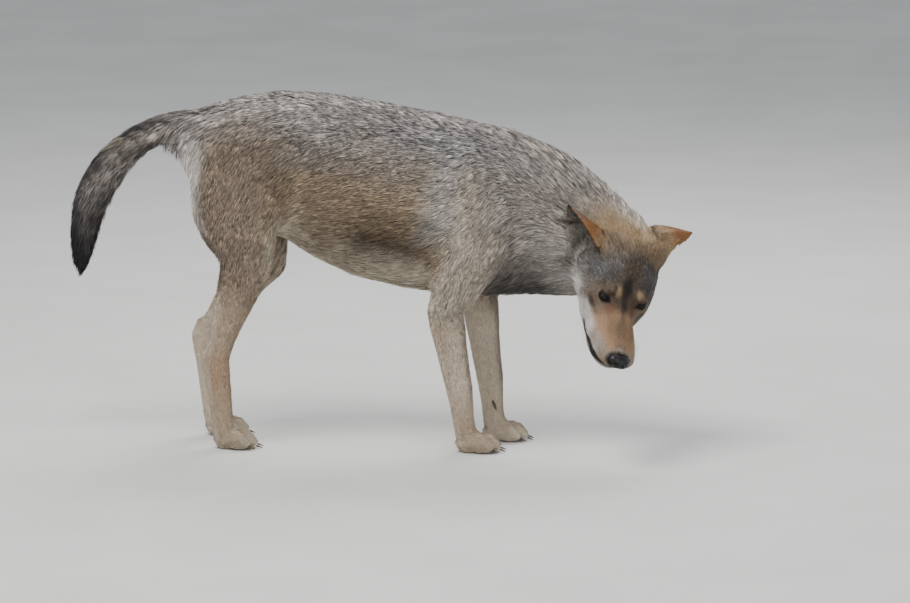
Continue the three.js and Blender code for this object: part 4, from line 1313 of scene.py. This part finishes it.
def eye_material():
    made, tree, shader = new_material(
        "eye", Roughness=0.12, Specular_IOR_Level=0.35, Coat_Weight=0.2, Coat_Roughness=0.05
    )
    ball = attribute(tree, "ball")
    apart = tree.nodes.new("ShaderNodeSeparateXYZ")
    link(tree, (ball.outputs["Vector"], apart.inputs[0]))
    _, y, z = apart.outputs
    squares = [math_node(tree, "MULTIPLY", axis, axis) for axis in (y, z)]
    from_middle = math_node(tree, "SQRT", math_node(tree, "ADD", *squares))
    turn = math_node(tree, "ARCTAN2", z, y)
    spoke = tree.nodes.new("ShaderNodeCombineXYZ")
    link(
        tree,
        (math_node(tree, "MULTIPLY", turn, 4.0), spoke.inputs[0]),
        (math_node(tree, "MULTIPLY", from_middle, 2.0), spoke.inputs[1]),
    )
    fibre = noise_node(tree, spoke.outputs[0], 3.0, 3.0)
    bright = range_node(tree, fibre, 0.35, 0.65, 0.6, 1.3)
    # the iris colour is darkened by default as painted shade of the lids
    iris = mix_node(tree, 1.0, (*bpy.context.scene.wolf_coat.iris_colour, 1), bright, "MULTIPLY")
    iris = mix_node(tree, range_node(tree, from_middle, 0.40, 0.58), iris, (0.03, 0.014, 0.007, 1))
    ball_colour = mix_node(tree, range_node(tree, from_middle, 0.60, 0.66), iris, (0.045, 0.032, 0.026, 1))
    whole = mix_node(tree, range_node(tree, from_middle, 0.27, 0.30), (0.004, 0.004, 0.004, 1), ball_colour)
    link(tree, (whole, shader.inputs["Base Color"]))
    return made


def nose_material():
    made, tree, shader = new_material("nose", Roughness=0.36, Specular_IOR_Level=0.3)
    coords = object_coords(tree)
    pebble = tree.nodes.new("ShaderNodeTexVoronoi")
    pebble.inputs["Scale"].default_value = 850.0
    link(tree, (coords, pebble.inputs["Vector"]))
    worn = noise_node(tree, coords, 120.0)
    colour = two_tone(tree, worn, 0.35, 0.7, (0.006, 0.006, 0.007), (0.018, 0.016, 0.016))
    link(
        tree,
        (colour, shader.inputs["Base Color"]),
        (range_node(tree, worn, 0.3, 0.7, 0.30, 0.46), shader.inputs["Roughness"]),
        (bump_node(tree, pebble.outputs["Distance"], 0.5, 0.35 * MM), shader.inputs["Normal"]),
    )
    return made


def claw_material():
    made, tree, shader = new_material("claw", Roughness=0.4, Specular_IOR_Level=0.4)
    coords = object_coords(tree)
    streak = noise_node(tree, coords, 420.0, 4.0)
    colour = two_tone(tree, streak, 0.35, 0.65, (0.030, 0.024, 0.019), (0.12, 0.088, 0.062))
    link(
        tree,
        (colour, shader.inputs["Base Color"]),
        (bump_node(tree, streak, 0.25, 0.2 * MM), shader.inputs["Normal"]),
    )
    return made


def whisker_material():
    made, tree, shader = new_material("whisker", Roughness=0.45)
    strands = noise_node(tree, object_coords(tree), 300.0)
    colour = two_tone(tree, strands, 0.3, 0.7, (0.020, 0.016, 0.013), (0.08, 0.066, 0.055))
    link(tree, (colour, shader.inputs["Base Color"]))
    return made


def floor_material():
    made, tree, shader = new_material("floor", Roughness=0.85, Specular_IOR_Level=0.2)
    grain = noise_node(tree, object_coords(tree), 3.0)
    colour = two_tone(tree, grain, 0.3, 0.7, (0.60, 0.60, 0.585), (0.64, 0.64, 0.625))
    link(tree, (colour, shader.inputs["Base Color"]))
    return made


def material(name):
    """The named material, made the first time it is wanted."""
    makers = {
        "fur": fur_material,
        "skin": skin_material,
        "eye": eye_material,
        "nose": nose_material,
        "claw": claw_material,
        "whisker": whisker_material,
        "floor": floor_material,
    }
    return bpy.data.materials.get("wolf " + name) or makers[name]()


def finish(obj, kind, replaced=()):
    """Gives a piece its material and its body, and hides the nodes that it stands for."""
    obj.data.materials.clear()
    obj.data.materials.append(material(kind))
    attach(obj, BODY)
    if replaced:
        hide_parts(*replaced)
    return obj


# ---- sizes that a user would change
def share_property(name, description, low=0.3, high=2.0):
    limits = dict(default=1.0, min=low, max=high)
    return FloatProperty(name=name, description=description, subtype="FACTOR", **limits)


def colour_property(name, description, rgb):
    limits = dict(default=tuple(float(c) for c in linear(rgb)), min=0, max=1)
    return FloatVectorProperty(name=name, description=description, subtype="COLOR", **limits)


class WolfCoat(PropertyGroup):
    fur_length: share_property("Fur length", "Length of every tuft, as a share of its own")
    fur_depth: share_property("Fur depth", "How far the tips stand off, as a share of the coat's depth")
    fur_count: share_property("Tufts", "Number of tufts, as a share of a full coat", 0.05, 1.2)
    tuft_width: share_property("Tuft width", "Width of every tuft, as a share of its own", 0.3, 3.0)
    coat_tint: colour_property("Coat tint", "Colour that the whole coat is multiplied by", (255, 255, 255))
    tip_colour: colour_property("Tip colour", "Colour of the dark tips of the guard hairs", (40, 38, 40))
    lip_colour: colour_property("Lip colour", "Colour of the lips and of the rims of the eyes", (30, 27, 27))
    # the iris's default is the amber iris darkened as painted shade of the half-closed lids
    iris_colour: colour_property("Iris colour", "Colour of the iris", (88, 60, 30))
    whisker_width: FloatProperty(
        name="Whisker width",
        description="Width of a whisker at its root",
        default=0.42 * MM,
        min=0.1 * MM,
        max=2 * MM,
        unit="LENGTH",
        subtype="DISTANCE",
    )


class WOLF_OT_skin(Operator):
    """One skin over all the flesh, with the head's folds, lids and lips"""

    bl_idname = "wolf.skin"
    bl_label = "Skin"

    def execute(self, context):
        mesh = fused_flesh()
        values = shrink_to_skin(mesh)
        mesh = thinned(mesh, values, 0.2)
        mesh = unwrapped(mesh)
        refined(mesh, face_wanted)
        surface = Surface(mesh)
        calm = 0.5 * face_wanted(surface.points)
        surface.points = surface.spread(surface.points, 3, calm)
        write_points(mesh, surface.points)
        refined(mesh, eyes_wanted)
        refined(mesh, lids_wanted)
        surface = Surface(mesh)
        sculpted_head(surface)
        write_points(mesh, surface.points)
        skin = new_object("skin", smoothed(mesh))
        ears = ear_share_of(surface.points)
        own, _, _ = along_strokes(surface.points, ears)
        colour, _, _ = markings(surface.points, surface.normals(), own, ears, context.scene.wolf_coat)
        # painted shade: the skin is darkened by up to 0.45 where the coat over it is deep
        coat_shadow = 1 - 0.45 * step(own[:, DEPTH], 1.5, 8)
        store(mesh, "shade", "FLOAT_COLOR", np.c_[colour * coat_shadow[:, None], coat_shadow])
        finish(skin, "skin", FLESH_NODES)
        return {"FINISHED"}


class WOLF_OT_coat(Operator):
    """Tufts of fur over the whole skin"""

    bl_idname = "wolf.coat"
    bl_label = "Coat"

    def execute(self, context):
        mesh = bpy.data.objects["skin"].data
        surface = Surface(mesh)
        loops = rows_of(mesh.loop_triangles, "loops", 3, np.int32)
        uv_corners = rows_of(mesh.uv_layers["OFBake"].data, "uv", 2, np.float32)[loops]
        for obj, slot in grown_coat(surface, uv_corners, context.scene.wolf_coat):
            finish(obj, "fur")
        return {"FINISHED"}


GAZE = (0.86, 0.44, -0.26)  # where the eyes look, in the head's frame
GAZE_OUT = 1.3  # how much more they follow the opening of the lids
CORNEA_BULGE = 0.055


class WOLF_OT_eyes(Operator):
    """Both eyes, with their corneas"""

    bl_idname = "wolf.eyes"
    bl_label = "Eyes"

    def execute(self, context):
        for node, side in zip(EYE_NODES, (-1, 1)):
            centre = Vector(ball_centre(node))
            level = np.array((GAZE[0], side * GAZE[1], GAZE[2]))
            gaze = unit(level + GAZE_OUT * eye_axes(side)[1])
            ahead = Vector(HEAD_AXES @ gaze)
            turn = ahead.to_track_quat("X", "Z").to_matrix().to_4x4()
            bm = bmesh.new()
            bmesh.ops.create_uvsphere(bm, u_segments=48, v_segments=32, radius=1.0)
            bm.normal_update()
            ball = [tuple(v.co) for v in bm.verts]
            for v in bm.verts:
                middle = math.hypot(v.co.y, v.co.z) if v.co.x > 0 else 1.0
                v.co *= 1 + CORNEA_BULGE * float(1 - step(np.array(middle), 0.3, 0.66))
            bmesh.ops.scale(bm, vec=Vector((1, 1, 1)) * EYE_RADIUS * HEAD_UNIT, verts=bm.verts)
            bmesh.ops.transform(bm, matrix=Matrix.Translation(centre) @ turn, verts=bm.verts)
            mesh = smoothed(mesh_of(bm, node + "_ball"))
            store(mesh, "ball", "FLOAT_VECTOR", np.array(ball))
            finish(new_object(node + "_ball", mesh), "eye", (node,))
        return {"FINISHED"}


class WOLF_OT_nose(Operator):
    """The nose pad, with its nostrils"""

    bl_idname = "wolf.nose"
    bl_label = "Nose"

    def execute(self, context):
        bm = bmesh.new()
        bmesh.ops.create_icosphere(bm, subdivisions=5, radius=1.0)
        ball = np.array([v.co for v in bm.verts])
        half = np.array(NOSE_HALF)
        # flatter in front and on top, narrower below
        bulk = np.sign(ball) * np.abs(ball) ** np.array((0.8, 0.9, 0.85)) * half
        bulk[:, 1] *= 1 - 0.24 * step(-bulk[:, 2], 0, 12)
        bulk[:, 0] += -0.16 * bulk[:, 2]
        side = sided(bulk)
        outward = unit(bulk / half**2)
        push = -0.9 * np.exp(-((bulk[:, 1] / 1.3) ** 2)) * step(bulk[:, 0], 2, 9)
        push += -6.5 * np.exp(-(((side - (11.5, 8.2, -1.8)) / (9, 3.6, 3.0)) ** 2).sum(1))
        slit = side[:, 2] + 1.8 + 0.28 * (side[:, 1] - 9)
        push += -3.4 * np.exp(-((slit / 1.5) ** 2)) * step(side[:, 1], 9, 12) * step(side[:, 0], -7, 1)
        push += 0.8 * np.exp(-(((side - (11, 10, 3.6)) / (8, 6, 2.6)) ** 2).sum(1))
        bulk += outward * push[:, None]
        places = from_head(bulk + np.array(NOSE_AT) + (-0.5, 0, 0.2))
        for v, place in zip(bm.verts, places):
            v.co = place
        finish(new_object("nose", smoothed(mesh_of(bm, "nose"))), "nose", ("nose_pad",))
        return {"FINISHED"}


WHISKER_CURL = np.array((-0.5, 0, -0.16))


def add_whisker(bm, root, way, length, radius):
    """Adds one three-sided whisker that curls back and down, and thins to its tip."""
    along = HEAD_AXES @ way
    across = unit(np.cross(along, (0.0, 0.0, 1.0)))
    above = np.cross(along, across)
    turns = [2 * math.pi * k / 3 for k in range(3)]
    rings = []
    for share in (0, 0.2, 0.45, 0.7, 1.0):
        middle = root + HEAD_AXES @ ((way * share + WHISKER_CURL * share**2) * length)
        out = radius * (1 - 0.8 * share)
        corners = [middle + (across * math.cos(t) + above * math.sin(t)) * out for t in turns]
        rings.append([bm.verts.new(c) for c in corners])
    for low, high in zip(rings, rings[1:]):
        for k in range(3):
            bm.faces.new((low[k], low[(k + 1) % 3], high[(k + 1) % 3], high[k]))
    bm.faces.new(rings[-1])
    bm.faces.new(rings[0][::-1])


class WOLF_OT_whiskers(Operator):
    """Thin dark whiskers, in rows on the sides of the muzzle"""

    bl_idname = "wolf.whiskers"
    bl_label = "Whiskers"

    def execute(self, context):
        tree = BVHTree.FromObject(bpy.data.objects["skin"], context.evaluated_depsgraph_get())
        rng = np.random.default_rng(SEED)
        thickness = context.scene.wolf_coat.whisker_width
        bm = bmesh.new()
        for side in (1, -1):
            for row in range(4):
                for column in range(6 - row // 2):
                    at = np.array((106.0 - 8 * column - 2 * row, 0.0, -42.0 - 6 * row - 0.6 * column))
                    aside = float(np.interp(at[0], *MUZZLE_ASIDE)) + MUZZLE_LEAN * (at[2] + 8)
                    start = Vector(from_head(at + (0, aside + side * 70, 0)))
                    inward = Vector(HEAD_AXES @ np.array((0, -side, 0)))
                    hit = tree.ray_cast(start, inward)[0]
                    if hit is None:
                        continue
                    lean = np.array((-0.62 - 0.1 * column, side * 0.8, -0.24))
                    way = unit(lean + 0.1 * rng.standard_normal(3))
                    length = (16 + 7 * column) * (0.85 + 0.3 * rng.random())
                    add_whisker(bm, np.array(hit), way, length * MM, thickness / 2)
        bmesh.ops.recalc_face_normals(bm, faces=bm.faces)
        finish(new_object("whiskers", mesh_of(bm, "whiskers")), "whisker")
        return {"FINISHED"}


class WOLF_OT_claws(Operator):
    """The claws, rounded from the frame's"""

    bl_idname = "wolf.claws"
    bl_label = "Claws"

    def execute(self, context):
        bm = bmesh.new()
        for node in CLAW_NODES:
            bm.from_mesh(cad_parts[node].data)
        bmesh.ops.remove_doubles(bm, verts=bm.verts, dist=0.01 * MM)
        rough = new_object("rough_claws", mesh_of(bm, "claws"))
        rounder = rough.modifiers.new("round", "SUBSURF")
        rounder.levels = rounder.render_levels = 2
        mesh = smoothed(evaluated(rough))
        bpy.data.objects.remove(rough)
        finish(new_object("claws", mesh), "claw", CLAW_NODES)
        return {"FINISHED"}


FLOOR_SIZE = 30.0  # half the floor's side, in metres
STUDIO_COLOUR = (0.86, 0.89, 0.93, 1)
LIT_AT = (0.05, 0.0, 0.35)  # where every lamp points
# (name, place, size, power, colour)
LAMPS = (
    ("key", (-0.9, -1.7, 3.9), 1.8, 170, (1.0, 0.98, 0.955)),
    ("fill", (2.6, -3.2, 1.8), 2.4, 44, (0.95, 0.975, 1.0)),
    ("rim", (0.6, 2.4, 3.0), 1.8, 90, (1.0, 0.99, 0.98)),
)
VIEW_CENTRE = (148.7, 64.3, 289.8)  # in the body's drawing
VIEW_WIDTH = 910 * 2.05 * MM  # what the camera sees from side to side at that place
VIEW_FROM = (0.0858, -0.9811, 0.1736)
VIEW_AWAY = 14  # metres
FILM_WIDTH = 36


class WOLF_OT_stage(Operator):
    """Floor, soft lights and the camera"""

    bl_idname = "wolf.stage"
    bl_label = "Stage"

    def execute(self, context):
        scene = context.scene
        bm = bmesh.new()
        bmesh.ops.create_grid(bm, x_segments=2, y_segments=2, size=FLOOR_SIZE)
        mesh = mesh_of(bm, "floor")
        mesh.materials.append(material("floor"))
        new_object("floor", mesh)
        world = bpy.data.worlds.new("studio")
        world.use_nodes = True
        background = world.node_tree.nodes["Background"]
        background.inputs["Color"].default_value = STUDIO_COLOUR
        background.inputs["Strength"].default_value = 0.62
        scene.world = world
        for name, place, size, power, colour in LAMPS:
            lamp = bpy.data.lights.new(name, "AREA")
            lamp.size = size
            lamp.energy = power
            lamp.color = colour
            aimed(name, lamp, Vector(place), Vector(LIT_AT) - Vector(place))
        back = Vector(VIEW_FROM).normalized()
        lens = bpy.data.cameras.new("camera")
        lens.sensor_width = FILM_WIDTH
        lens.lens = FILM_WIDTH * VIEW_AWAY / VIEW_WIDTH
        lens.clip_end = 100
        target = Vector(from_drawing(VIEW_CENTRE))
        scene.camera = aimed("camera", lens, target + back * VIEW_AWAY, -back)
        return {"FINISHED"}


class WOLF_PT_panel(Panel):
    """The wolf's sizes and pieces"""

    bl_idname = "WOLF_PT_panel"
    bl_label = "Wolf"
    bl_space_type = "VIEW_3D"
    bl_region_type = "UI"
    bl_category = "Wolf"

    def draw(self, context):
        for key in WolfCoat.__annotations__:
            self.layout.prop(context.scene.wolf_coat, key)
        for operator in OPERATORS:
            self.layout.operator(operator.bl_idname)


OPERATORS = (
    WOLF_OT_stage,
    WOLF_OT_skin,
    WOLF_OT_coat,
    WOLF_OT_eyes,
    WOLF_OT_nose,
    WOLF_OT_whiskers,
    WOLF_OT_claws,
)
CLASSES = (WolfCoat, *OPERATORS, WOLF_PT_panel)


def register():
    for cls in CLASSES:
        bpy.utils.register_class(cls)
    bpy.types.Scene.wolf_coat = PointerProperty(type=WolfCoat)


def unregister():
    del bpy.types.Scene.wolf_coat
    for cls in reversed(CLASSES):
        bpy.utils.unregister_class(cls)


def main():
    register()
    for operator in OPERATORS:
        family, name = operator.bl_idname.split(".")
        getattr(getattr(bpy.ops, family), name)()


if __name__ == "__main__":
    main()
